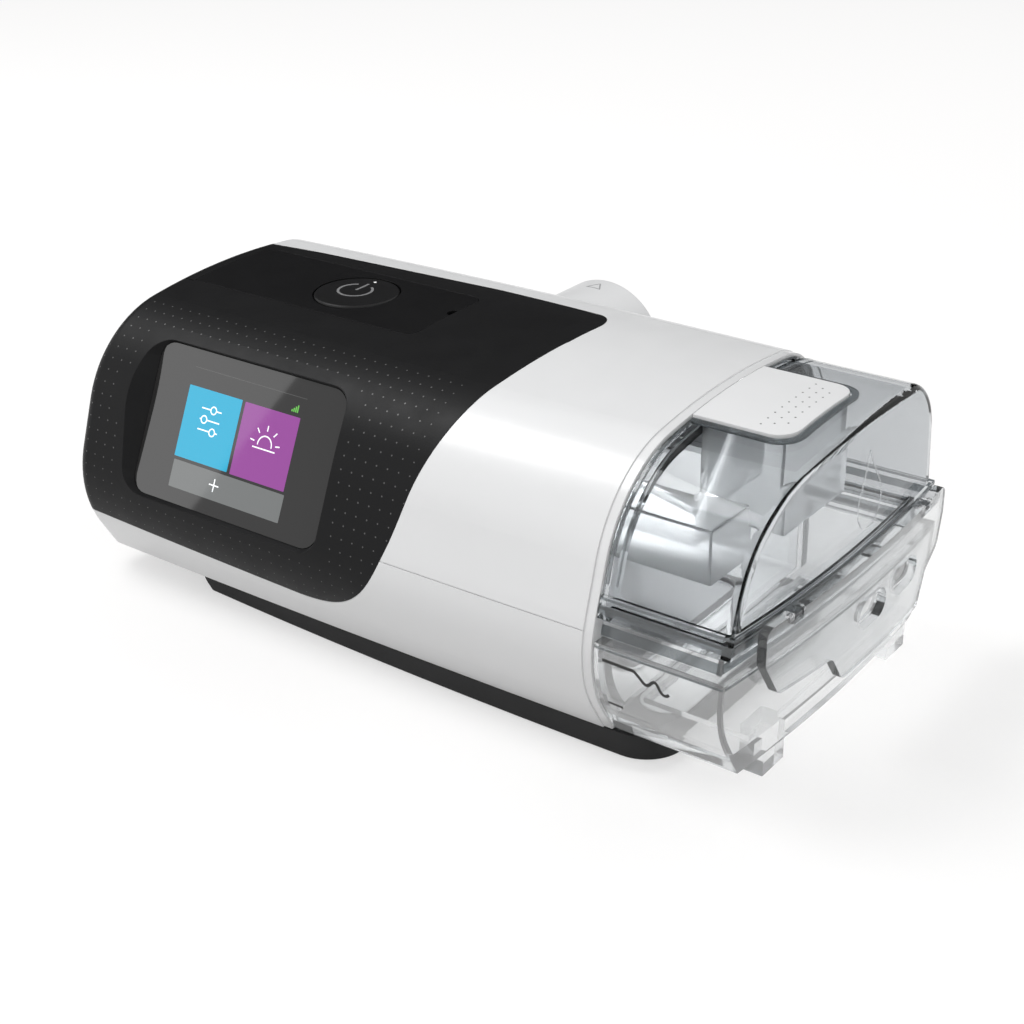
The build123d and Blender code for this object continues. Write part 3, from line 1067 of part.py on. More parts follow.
with BuildPart() as impeller_shaft:
    upright(BLOWER_X, BLOWER_Y, MOTOR_Z0 + SHAFT_FOOT_GAP, HUB_TOP_Z - SHAFT_TOP_GAP, SHAFT_R)
save(impeller_shaft, "impeller_shaft")

with BuildPart() as motor_rotor:
    rotor_z = around((MOTOR_Z0 + MOTOR_Z1) / 2, ROTOR_L)
    upright(BLOWER_X, BLOWER_Y, *rotor_z, ROTOR_R)
    upright(BLOWER_X, BLOWER_Y, *rotor_z, SHAFT_R, Mode.SUBTRACT)
save(motor_rotor, "motor_rotor")

with BuildPart() as impeller:
    upright(BLOWER_X, BLOWER_Y, WHEEL_Z, WHEEL_Z + WHEEL_FLOOR, WHEEL_R)
    upright(BLOWER_X, BLOWER_Y, WHEEL_Z, HUB_TOP_Z, HUB_R)
    with BuildSketch(Plane((BLOWER_X, BLOWER_Y, WHEEL_Z))):
        with PolarLocations(BLADE_RING_R, BLADES):
            Rectangle(BLADE_L, BLADE_T, rotation=BLADE_TURN)
    extrude(amount=WHEEL_H)
    upright(BLOWER_X, BLOWER_Y, WHEEL_Z, HUB_TOP_Z - SHAFT_TOP_GAP, SHAFT_R, Mode.SUBTRACT)
save(impeller, "impeller")

# ---- electronics -----------------------------------------------------------------------------------------
with BuildPart() as main_board:
    block((BOARD_X0, BOARD_X1), (BOARD_Y0, BOARD_Y1), (BOARD_Z, BOARD_TOP_Z))
    for x, y in MOUNT_SPOTS:
        upright(x, y, BOARD_Z, BOARD_TOP_Z, MOUNT_R + BOARD_HOLE_GAP, Mode.SUBTRACT)
save(main_board, "main_board")

with BuildPart() as board_components:
    for x, y, length, width, height in CHIPS:
        block(around(x, length), around(y, width), (BOARD_TOP_Z, BOARD_TOP_Z + height))
save(board_components, "board_components")

with BuildPart() as sensor_board:
    block((CHAMBER_X1, CHAMBER_X1 + SENSOR_T), SENSOR_Y, SENSOR_Z)
save(sensor_board, "sensor_board")

with BuildPart() as power_inlet:
    block(around(POWER_X, POWER_BLOCK_W), (POWER_Y0, POWER_BLOCK_END_Y), around(POWER_Z, POWER_BLOCK_H))
    backwards(POWER_BLOCK_END_Y, POWER_Y1, POWER_X, POWER_Z, POWER_R)
    backwards(POWER_Y1 - POWER_DEPTH, POWER_Y1, POWER_X, POWER_Z, POWER_BORE_R, Mode.SUBTRACT)
save(power_inlet, "power_inlet")
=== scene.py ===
"""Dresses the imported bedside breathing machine: finishes, small marks, studio and camera.

Every length is given in millimetres in the row frame and turned into metres when a mesh is made.
"""

import logging
import math
from collections.abc import Callable
from dataclasses import dataclass, field
from enum import Enum
from functools import partial

import bpy
from mathutils import Matrix, Quaternion, Vector
from mathutils.bvhtree import BVHTree

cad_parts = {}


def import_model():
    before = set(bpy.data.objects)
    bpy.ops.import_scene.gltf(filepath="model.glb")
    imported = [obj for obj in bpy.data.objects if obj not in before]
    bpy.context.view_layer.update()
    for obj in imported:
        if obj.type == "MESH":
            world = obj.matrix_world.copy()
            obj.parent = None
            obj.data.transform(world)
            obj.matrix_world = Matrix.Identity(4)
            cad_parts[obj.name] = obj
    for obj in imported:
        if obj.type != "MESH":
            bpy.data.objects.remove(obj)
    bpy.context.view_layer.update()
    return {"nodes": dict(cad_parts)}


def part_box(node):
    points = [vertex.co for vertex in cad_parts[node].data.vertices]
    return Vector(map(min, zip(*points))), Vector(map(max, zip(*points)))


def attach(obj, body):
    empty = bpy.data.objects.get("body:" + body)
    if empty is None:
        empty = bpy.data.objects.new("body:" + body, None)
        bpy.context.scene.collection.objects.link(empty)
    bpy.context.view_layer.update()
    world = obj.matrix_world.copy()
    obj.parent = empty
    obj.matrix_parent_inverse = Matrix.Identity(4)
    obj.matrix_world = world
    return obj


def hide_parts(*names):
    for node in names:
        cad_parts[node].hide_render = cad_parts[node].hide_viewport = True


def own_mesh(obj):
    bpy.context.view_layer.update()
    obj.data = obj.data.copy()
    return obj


MM = 0.001
LOG = logging.getLogger("machine")

Point = tuple[float, float]
Span = tuple[Point, Point]
Rgb = tuple[float, float, float]
Shade = tuple[float, float, float, float]
Place = tuple[float, float, float]
Values = dict[str, float | Shade | Place]
Faces = list[tuple[int, ...]]
Shape = tuple[list[Vector], Faces]
Spot = Callable[[Point], Vector | None]
Spots = tuple[Spot, Spot]
Ray = tuple[Vector, Vector]
Sight = Callable[[Point], Ray]
Nodes = dict[str, bpy.types.Object]
Socket = bpy.types.NodeSocket

SCREEN_FOOT = (-68.5, 37.5)    # y and z of the lower edge of the screen's recess
SCREEN_LEAN = 24.85            # degrees that the screen leans back


class Body(Enum):
    """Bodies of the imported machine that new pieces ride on."""

    MACHINE = "machine"
    BUTTON = "button"
    TUB = "tub"
    OUTLET = "outlet"


class Grain(Enum):
    """Kinds of fine surface structure."""

    MOULDED = "moulded"
    SPARK = "spark"
    BRUSHED = "brushed"
    FIBRE = "fibre"
    CELLS = "cells"


# ---- finishes ----
def fill(node: bpy.types.Node, values: Values) -> bpy.types.Node:
    """Set some of a node's own values.

    Args:
        node: The node.
        values: The value of each input by its name.

    Returns:
        The same node.
    """
    for entry, value in values.items():
        node.inputs[entry].default_value = value
    return node


@dataclass(frozen=True)
class Canvas:
    """What a finish works on: a node tree, coordinates in the row frame and the Principled shader."""

    tree: bpy.types.NodeTree
    place: Socket
    shader: bpy.types.Node

    def add(self, kind: str, values: Values) -> bpy.types.Node:
        """New node of a kind, with its own values set."""
        return fill(self.tree.nodes.new(kind), values)

    def link(self, start: Socket, node: bpy.types.Node, entry: str) -> None:
        """Join a socket to a node's input."""
        self.tree.links.new(start, node.inputs[entry])

    def noise(self, size: float, detail: float, place: Socket | None = None) -> Socket:
        """Add a noise texture.

        Args:
            size: Length of one swell in mm.
            detail: Number of finer octaves.
            place: Coordinates to use instead of the row frame's.

        Returns:
            The socket that gives the noise.
        """
        noise = self.add("ShaderNodeTexNoise", {"Scale": 1.0 / (size * MM), "Detail": detail})
        self.link(self.place if place is None else place, noise, "Vector")
        return noise.outputs["Fac"]

    def ramp(self, factor: Socket, tones: tuple[Shade, Shade], span: Point) -> Socket:
        """Add a ramp from one colour to another.

        Args:
            factor: The socket that drives the ramp.
            tones: The first and the last colour.
            span: Where the first colour ends and the last one begins.

        Returns:
            The socket that gives the colour.
        """
        ramp = self.add("ShaderNodeValToRGB", {})
        for stop, tone, position in zip(ramp.color_ramp.elements, tones, span):
            stop.color, stop.position = tone, position
        self.link(factor, ramp, "Fac")
        return ramp.outputs["Color"]


@dataclass(frozen=True)
class Finish:
    """One procedural finish: a drifting tone, a varying roughness and a fine relief. Lengths in mm."""

    name: str
    color: Rgb
    roughness: float
    grain_size: float = 0.7
    grain_depth: float = 0.01
    grain: Grain = Grain.MOULDED
    drift: float = 0.05
    drift_size: float = 45.0
    swing: float = 0.05
    metallic: float = 0.0
    coat: float = 0.0
    coat_roughness: float = 0.1
    specular: float = 0.5
    sheen: float = 0.0
    edge: float = 0.0

    def material(self) -> bpy.types.Material:
        """Make the finish, or give back the one made before.

        Returns:
            The material with its node tree.
        """
        made = bpy.data.materials.get(self.name)
        if made is None:
            made = bpy.data.materials.new(self.name)
            made.use_nodes = True
            tree = made.node_tree
            place = tree.nodes.new("ShaderNodeTexCoord").outputs["Object"]
            canvas = Canvas(tree, place, tree.nodes["Principled BSDF"])
            fill(canvas.shader, self.constants())
            for work in (self.paint_tone, self.vary_roughness, self.raise_grain):
                work(canvas)
        return made

    def constants(self) -> Values:
        """Values that are the same all over."""
        return {"Metallic": self.metallic, "Coat Weight": self.coat, "Coat Roughness": self.coat_roughness,
                "Specular IOR Level": self.specular, "Sheen Weight": self.sheen}

    def paint_tone(self, canvas: Canvas) -> None:
        """Let the tone drift slowly over the surface.

        Args:
            canvas: What the finish works on.
        """
        tones = (shade(self.color, 1.0 - self.drift), shade(self.color, 1.0 + self.drift))
        tone = canvas.ramp(canvas.noise(self.drift_size, 4.0), tones, (0.3, 0.7))
        canvas.link(tone, canvas.shader, "Base Color")

    def vary_roughness(self, canvas: Canvas) -> None:
        """Let the roughness vary with handling.

        Args:
            canvas: What the finish works on.
        """
        low, high = max(0.01, self.roughness - self.swing), self.roughness + self.swing
        span = canvas.add("ShaderNodeMapRange",
                          {"From Min": 0.25, "From Max": 0.75, "To Min": low, "To Max": high})
        canvas.link(canvas.noise(self.drift_size / 5.0, 6.0), span, "Value")
        canvas.link(span.outputs["Result"], canvas.shader, "Roughness")

    def raise_grain(self, canvas: Canvas) -> None:
        """Give the surface its fine relief, over softened edges where the finish has them.

        Args:
            canvas: What the finish works on.
        """
        bump = canvas.add("ShaderNodeBump", {"Strength": 1.0, "Distance": self.grain_depth * MM})
        canvas.link(self.relief(canvas), bump, "Height")
        if self.edge:
            soft = canvas.add("ShaderNodeBevel", {"Radius": self.edge * MM})
            soft.samples = 4
            canvas.link(soft.outputs["Normal"], bump, "Normal")
        canvas.link(bump.outputs["Normal"], canvas.shader, "Normal")

    def relief(self, canvas: Canvas) -> Socket:
        """Height pattern of the finish's grain.

        Args:
            canvas: What the finish works on.

        Returns:
            The socket that gives the height.
        """
        if self.grain in (Grain.SPARK, Grain.CELLS):
            cells = canvas.add("ShaderNodeTexVoronoi", {"Scale": 1.0 / (self.grain_size * MM)})
            cells.feature = "SMOOTH_F1" if self.grain is Grain.SPARK else "F1"
            canvas.link(canvas.place, cells, "Vector")
            return cells.outputs["Distance"]
        if self.grain is Grain.MOULDED:
            return canvas.noise(self.grain_size, 3.0)
        scale = (0.04, 1.0, 1.0) if self.grain is Grain.BRUSHED else (1.0, 0.2, 0.2)
        stretch = canvas.add("ShaderNodeMapping", {"Scale": scale})
        canvas.link(canvas.place, stretch, "Vector")
        return canvas.noise(self.grain_size, 5.0, stretch.outputs["Vector"])


@dataclass(frozen=True)
class ClearFinish(Finish):
    """Clear plastic with a smoky tint, and painted shade that darkens its colour where it is seen at a
    slant.
    """

    clear: float = 1.0
    ior: float = 1.5
    # rim: share by which painted shade darkens the colour where the plastic is seen at a slant
    rim: float = 0.15
    depth: float = 60.0
    depth_color: Rgb = (0.3, 0.36, 0.39)

    def constants(self) -> Values:
        """Values that are the same all over, with what lets light through."""
        return super().constants() | {"Transmission Weight": self.clear, "IOR": self.ior}

    def paint_tone(self, canvas: Canvas) -> None:
        """Tint the plastic, with painted shade that darkens it towards slanting sight, and let it dim what
        passes through it.

        Args:
            canvas: What the finish works on.
        """
        dimming = canvas.add("ShaderNodeVolumeAbsorption",
                             {"Color": (*self.depth_color, 1.0), "Density": self.depth})
        canvas.link(dimming.outputs["Volume"], canvas.tree.nodes["Material Output"], "Volume")
        # painted shade: the colour darkens by rim where the surface is seen at a slant
        slant = canvas.add("ShaderNodeLayerWeight", {"Blend": 0.35})
        mix = canvas.add("ShaderNodeMix", {})
        mix.data_type = "RGBA"
        canvas.link(slant.outputs["Facing"], mix, "Factor")
        noise = canvas.noise(self.drift_size, 2.0)
        for entry, share in (("A", 1.0), ("B", 1.0 - self.rim)):
            tones = (shade(self.color, share * (1.0 - self.drift)), shade(self.color, share))
            canvas.link(canvas.ramp(noise, tones, (0.0, 1.0)), mix, entry)
        canvas.link(mix.outputs["Result"], canvas.shader, "Base Color")


@dataclass(frozen=True)
class LitFinish(Finish):
    """Picture element of the lit display."""

    roughness: float = 0.04
    grain: Grain = Grain.CELLS
    grain_size: float = 0.25
    grain_depth: float = 0.0002
    drift: float = 0.02
    swing: float = 0.01
    specular: float = 0.35
    glow: float = 0.78

    def constants(self) -> Values:
        """Values that are the same all over, with the element's own light."""
        return super().constants() | {"Emission Color": (*self.color, 1.0), "Emission Strength": self.glow}


def shade(color: Rgb, share: float) -> Shade:
    """A colour at a share of its lightness, as a node's colour."""
    return (*(min(1.0, channel * share) for channel in color), 1.0)


CLEAR_LATCH = ClearFinish(
    "smoky_clear_latch", (0.93, 0.94, 0.945), 0.06, 6.0, 0.02, drift=0.03, swing=0.02, clear=0.96,
    rim=0.1, depth=20.0)
# dark clear plastic for thin strips whose darkness is painted shade, in place of the dark look of clear
# edges and joints
PAINTED_EDGE_SHADE = ClearFinish("painted_edge_shade", (0.42, 0.45, 0.465), 0.08, 3.0, 0.01, clear=0.85, depth=250.0)
SCREEN_FILM = Finish(
    "gloss_screen_film", (0.021, 0.0205, 0.0205), 0.03, 20.0, 0.003, drift=0.01, swing=0.008,
    specular=0.45)
LINER_WHITE = Finish("satin_white_liner", (0.84, 0.85, 0.855), 0.36, 1.2, 0.004, drift=0.02, edge=0.5)
RUBBER = Finish("dark_rubber", (0.02, 0.02, 0.02), 0.7, 0.6, 0.03, Grain.SPARK, sheen=0.15)
STEEL = Finish("ground_steel", (0.55, 0.55, 0.56), 0.3, 0.25, 0.004, Grain.BRUSHED, metallic=1.0)
DOT_GREY = Finish("light_dot", (0.075, 0.075, 0.075), 0.4, 0.3, 0.002)
PAD_DOT = Finish("dark_pad_dot", (0.12, 0.12, 0.12), 0.5, 0.3, 0.002)
SEAM_BLACK = Finish("open_seam", (0.002, 0.002, 0.002), 0.8, 0.4, 0.002, specular=0.05)
MARK_BLACK = Finish("printed_black", (0.008, 0.008, 0.008), 0.45, 0.4, 0.002)
MARK_GREY = Finish("printed_grey", (0.22, 0.22, 0.225), 0.4, 0.4, 0.002)
ARROW_GREY = Finish("printed_arrow", (0.35, 0.35, 0.36), 0.45, 0.4, 0.002)
LAMP_WHITE = LitFinish("indicator_lamp", (0.7, 0.7, 0.7), glow=0.6)
TILE_BLUE = LitFinish("lit_blue", (0.003, 0.255, 0.4))
TILE_PURPLE = LitFinish("lit_purple", (0.19, 0.04, 0.203))
TILE_GREY = LitFinish("lit_grey", (0.11, 0.115, 0.115))
LINE_WHITE = LitFinish("lit_white", (0.72, 0.74, 0.75))
LINE_FAINT = LitFinish("lit_faint", (0.06, 0.06, 0.06))
BARS_GREEN = LitFinish("lit_green", (0.1, 0.34, 0.06))

DRESSED: dict[str, Finish] = {
    "front_fascia card_cover": Finish(
        "satin_black_shell", (0.0085, 0.0085, 0.009), 0.42, 0.45, 0.01, Grain.SPARK, specular=0.12,
        edge=0.5),
    "top_panel": Finish(
        "satin_black_panel", (0.006, 0.006, 0.0065), 0.38, 0.6, 0.005, specular=0.13, edge=0.3),
    "start_button": Finish(
        "soft_black_button", (0.009, 0.009, 0.0095), 0.36, 0.5, 0.004, specular=0.2, edge=0.5),
    "base_plinth": Finish(
        "matte_black_base", (0.016, 0.016, 0.0165), 0.6, 0.8, 0.02, Grain.SPARK, specular=0.25, edge=0.5),
    "upper_housing lower_housing": Finish(
        "soft_gloss_white_shell", (0.81, 0.815, 0.82), 0.34, 1.6, 0.0016, drift=0.008, coat=0.3,
        coat_roughness=0.14, edge=0.5),
    "tub_rim": Finish(
        "gloss_white_rim", (0.8, 0.805, 0.81), 0.2, 1.2, 0.0015, drift=0.008, coat=0.3, edge=0.5),
    "filter_cover": Finish(
        "satin_white_cover", (0.78, 0.785, 0.79), 0.4, 0.7, 0.004, Grain.SPARK, drift=0.015, edge=0.4),
    "thumb_pad": Finish("satin_white_pad", (0.81, 0.815, 0.82), 0.38, 0.5, 0.003, drift=0.008, edge=0.4),
    "outlet_connector": Finish(
        "satin_white_outlet", (0.74, 0.745, 0.75), 0.36, 0.9, 0.003, drift=0.012, edge=0.5),
    "tub_base": ClearFinish(
        "smoky_clear_tub", (0.97, 0.975, 0.978), 0.03, 9.0, 0.012, drift=0.02, swing=0.015, clear=0.88,
        rim=0.04, depth=7.0),
    "tub_lid": ClearFinish(
        "smoky_clear_lid", (0.75, 0.765, 0.778), 0.02, 12.0, 0.012, drift=0.02, swing=0.01, depth=20.0,
        ior=1.22),
    "lid_duct": ClearFinish(
        "smoky_clear_duct", (0.95, 0.96, 0.965), 0.09, 8.0, 0.02, drift=0.02, swing=0.02, clear=0.72,
        rim=0.05, depth=10.0, ior=1.22),
    "tub_latch": CLEAR_LATCH,
    "lid_seal": ClearFinish("milky_seal", (0.62, 0.64, 0.65), 0.35, 1.0, 0.01, clear=0.6, depth=40.0),
    "screen_glass": ClearFinish(
        "dark_screen_glass", (0.94, 0.94, 0.94), 0.03, 20.0, 0.003, drift=0.01, swing=0.008, rim=0.1,
        depth=20.0),
    "display_panel screen_gasket": Finish(
        "unlit_display", (0.014, 0.014, 0.0145), 0.4, 12.0, 0.002, specular=0.05),
    "dock_liner": LINER_WHITE,
    "dock_inlet_seal dock_outlet_seal tub_seal": Finish(
        "soft_grey_seal", (0.11, 0.11, 0.115), 0.6, 0.5, 0.02, sheen=0.2),
    "rubber_feet outlet_o_ring blower_mounts blower_duct": RUBBER,
    "tub_heat_plate": Finish(
        "brushed_heat_steel", (0.7, 0.7, 0.71), 0.2, 0.3, 0.004, Grain.BRUSHED, metallic=1.0),
    "dock_heater_plate": Finish(
        "satin_heat_alloy", (0.68, 0.68, 0.69), 0.35, 0.5, 0.006, Grain.BRUSHED, metallic=1.0),
    "heater_element": Finish("etched_foil", (0.6, 0.42, 0.2), 0.35, 1.5, 0.02, Grain.CELLS, metallic=1.0),
    "heater_insulator": Finish(
        "felted_insulator", (0.72, 0.68, 0.6), 0.9, 0.4, 0.08, Grain.FIBRE, drift=0.1, sheen=0.3),
    "display_bracket button_guide card_socket": Finish(
        "dark_inner_plastic", (0.03, 0.03, 0.032), 0.5, 0.8, 0.01),
    "outlet_elbow filter_chamber inlet_duct blower_lower blower_upper": Finish(
        "plain_inner_plastic", (0.6, 0.6, 0.6), 0.45, 0.9, 0.01, drift=0.03),
    "button_board main_board sensor_board": Finish(
        "lacquered_board", (0.015, 0.12, 0.045), 0.3, 2.2, 0.02, Grain.CELLS, drift=0.2, coat=0.4),
    "button_switch board_components power_inlet": Finish(
        "moulded_chip", (0.02, 0.02, 0.02), 0.5, 0.4, 0.01, Grain.SPARK),
    "display_ribbon": Finish(
        "amber_flex_film", (0.5, 0.2, 0.03), 0.25, 0.8, 0.01, Grain.BRUSHED, drift=0.12),
    "air_filter": Finish(
        "fibrous_filter", (0.78, 0.8, 0.82), 0.95, 0.35, 0.15, Grain.FIBRE, drift=0.08, sheen=0.4),
    "muffler_foam": Finish("open_cell_foam", (0.03, 0.03, 0.03), 0.95, 0.9, 0.4, Grain.CELLS, drift=0.25),
    "memory_card": Finish("matte_card", (0.01, 0.02, 0.09), 0.5, 0.5, 0.01),
    "housing_screws button_spring latch_pins motor_bearings impeller_shaft": STEEL,
    "motor_rotor": Finish("plated_magnet", (0.5, 0.5, 0.52), 0.18, 0.8, 0.003, metallic=1.0),
    "motor_stator": Finish(
        "wound_core", (0.3, 0.16, 0.09), 0.5, 1.2, 0.2, Grain.CELLS, metallic=0.6, drift=0.2),
    "impeller": Finish("satin_wheel", (0.7, 0.71, 0.72), 0.35, 0.6, 0.006),
}
NODE_FINISHES = {name: finish for names, finish in DRESSED.items() for name in names.split()}
SHADED = ("tub_lid", "tub_latch")    # clear nodes that are dense enough to cast a shadow


# ---- flat outlines and how they become pieces ----
@dataclass
class Flat:
    """Flat mesh in two coordinates, which is laid on a surface later."""

    points: list[Point] = field(default_factory=list)
    faces: Faces = field(default_factory=list)

    def join(self, other: "Flat") -> None:
        """Add another flat mesh to this one.

        Args:
            other: The mesh to add.
        """
        first = len(self.points)
        self.points += other.points
        self.faces += [tuple(first + corner for corner in face) for face in other.faces]


def strip(path: list[Point], width: float, closed: bool = False) -> Flat:
    """Band of even width along a path.

    Args:
        path: Points of the middle line.
        width: Width of the band.
        closed: Whether the last point joins the first.

    Returns:
        The band.
    """
    count = len(path)
    flat = Flat()
    for index, point in enumerate(path):
        before = path[(index - 1) % count] if closed or index else point
        after = path[(index + 1) % count] if closed or index < count - 1 else point
        along = Vector((after[0] - before[0], after[1] - before[1])).normalized()
        side = Vector((-along.y, along.x)) * (width / 2)
        flat.points += [(point[0] + side.x, point[1] + side.y), (point[0] - side.x, point[1] - side.y)]
    for index in range(count if closed else count - 1):
        after = (index + 1) % count
        flat.faces.append((2 * index, 2 * index + 1, 2 * after + 1, 2 * after))
    return flat


def arc(middle: Point, radius: float, start: float, sweep: float, steps: int) -> list[Point]:
    """Points of an arc, one more than its steps, from a start angle over a sweep in degrees."""
    turns = [math.radians(start + sweep * step / steps) for step in range(steps + 1)]
    return [(middle[0] + radius * math.cos(turn), middle[1] + radius * math.sin(turn)) for turn in turns]


def dense(path: list[Point], step: float) -> list[Point]:
    """The same path with more points.

    Args:
        path: Points of the path.
        step: Greatest distance between neighbours.

    Returns:
        The old points with new ones between them.
    """
    points = [path[0]]
    for start, end in zip(path, path[1:]):
        parts = max(1, math.ceil(math.dist(start, end) / step))
        run, rise = end[0] - start[0], end[1] - start[1]
        points += [(start[0] + run * part / parts, start[1] + rise * part / parts)
                   for part in range(1, parts + 1)]
    return points


def disc(middle: Point, radius: float, count: int) -> Flat:
    """Round patch made of wedges."""
    rim = arc(middle, radius, 0.0, 360.0, count)[:-1]
    return Flat([middle, *rim], [(0, 1 + k, 1 + (k + 1) % count) for k in range(count)])


def plate(x_span: Point, y_span: Point, radius: float) -> Flat:
    """Rectangle with rounded corners.

    Args:
        x_span: Its left and right edge.
        y_span: Its lower and upper edge.
        radius: Radius of its corners.

    Returns:
        The rectangle.
    """
    left, right = x_span[0] + radius, x_span[1] - radius
    low, high = y_span[0] + radius, y_span[1] - radius
    quarters = (((right, high), 0.0), ((left, high), 90.0), ((left, low), 180.0), ((right, low), 270.0))
    rim = [point for middle, start in quarters for point in arc(middle, radius, start, 90.0, 6)]
    return Flat(rim, [tuple(range(len(rim)))])


def thicken(flat: Flat, spots: Spots) -> Shape:
    """Turn a flat mesh into a thin closed one between two surfaces.

    Args:
        flat: The flat mesh.
        spots: Give a point's place on the outer and the inner surface, or None off the edge.

    Returns:
        The vertices in mm and the faces.
    """
    tops, bottoms = ([spot(point) for point in flat.points] for spot in spots)
    used = [k for k, (high, low) in enumerate(zip(tops, bottoms)) if high is not None and low is not None]
    new, count = {old: k for k, old in enumerate(used)}, len(used)
    solid = [tuple(new[corner] for corner in face) for face in flat.faces if new.keys() >= set(face)]
    edges = {(face[k], face[(k + 1) % len(face)]) for face in solid for k in range(len(face))}
    walls = [(start, start + count, end + count, end) for start, end in edges if (end, start) not in edges]
    under = [tuple(corner + count for corner in reversed(face)) for face in solid]
    return [tops[k] for k in used] + [bottoms[k] for k in used], solid + under + sorted(walls)


def add_mesh(name: str, shape: Shape, material: bpy.types.Material) -> bpy.types.Object:
    """Make an object from vertices and faces.

    Args:
        name: Its name.
        shape: Its vertices in mm and its faces.
        material: Its material.

    Returns:
        The object.
    """
    mesh = bpy.data.meshes.new(name)
    mesh.from_pydata([vertex * MM for vertex in shape[0]], [], shape[1])
    mesh.validate()
    mesh.materials.append(material)
    made = bpy.data.objects.new(name, mesh)
    bpy.context.scene.collection.objects.link(made)
    return made


def make_piece(name: str, shape: Shape, finish: Finish, body: Body) -> bpy.types.Object:
    """Make one small piece and let it ride on its body.

    Args:
        name: Name of the piece.
        shape: Its vertices in mm and its faces.
        finish: Its finish.
        body: The body that it rides on.

    Returns:
        The new object.
    """
    piece = add_mesh(name, shape, finish.material())
    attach(piece, body.value)
    LOG.info("made %s with %d faces", name, len(piece.data.polygons))
    return piece


def from_above(point: Point) -> Ray:
    """Sight straight down on a point given by x and y."""
    return Vector((*point, 150.0)), Vector((0, 0, -1))


def from_front(point: Point) -> Ray:
    """Sight straight at the front on a point given by x and z."""
    return Vector((point[0], -150.0, point[1])), Vector((0, 1, 0))


def from_right(point: Point) -> Ray:
    """Sight straight at the tub's end on a point given by y and z."""
    return Vector((250.0, *point)), Vector((-1, 0, 0))


def round_x(axis: Point, point: Point) -> Ray:
    """Sight at a level axis along x.

    Args:
        axis: The axis's y and z.
        point: Station along x, and degrees risen from the front.

    Returns:
        Where the sight starts, in mm, and its direction.
    """
    turn = math.radians(point[1])
    aim = Vector((0.0, math.cos(turn), -math.sin(turn)))
    return Vector((point[0], *axis)) - aim * 200.0, aim


def round_z(axis: Point, point: Point) -> Ray:
    """Sight at an upright axis.

    Args:
        axis: The axis's x and y.
        point: Degrees from the right side, and height.

    Returns:
        Where the sight starts, in mm, and its direction.
    """
    turn = math.radians(point[0])
    aim = Vector((-math.cos(turn), -math.sin(turn), 0.0))
    return Vector((*axis, point[1])) - aim * 200.0, aim


class Skin:
    """Outside of a CAD node, on which thin marks are laid."""

    def __init__(self, node: bpy.types.Object) -> None:
        """Read the surface of a CAD node."""
        self.tree = BVHTree.FromPolygons([vertex.co for vertex in node.data.vertices],
                                         [tuple(face.vertices) for face in node.data.polygons])

    def spot(self, sight: Sight, lift: float, point: Point) -> Vector | None:
        """Place on the node under a point.

        Args:
            sight: Gives where to look at a point from, in mm, and the direction.
            lift: Distance off the surface in mm.
            point: The point.

        Returns:
            The place in mm, or None off the node's edge.
        """
        start, aim = sight(point)
        place, normal, _, _ = self.tree.ray_cast(start * MM, aim)
        if place is None:
            return None
        outward = normal if normal.dot(aim) < 0 else -normal
        return place / MM + outward * lift

    def between(self, sight: Sight, lifts: Point) -> Spots:
        """Outer and inner surface of a mark that follows the node."""
        return partial(self.spot, sight, lifts[0]), partial(self.spot, sight, lifts[1])


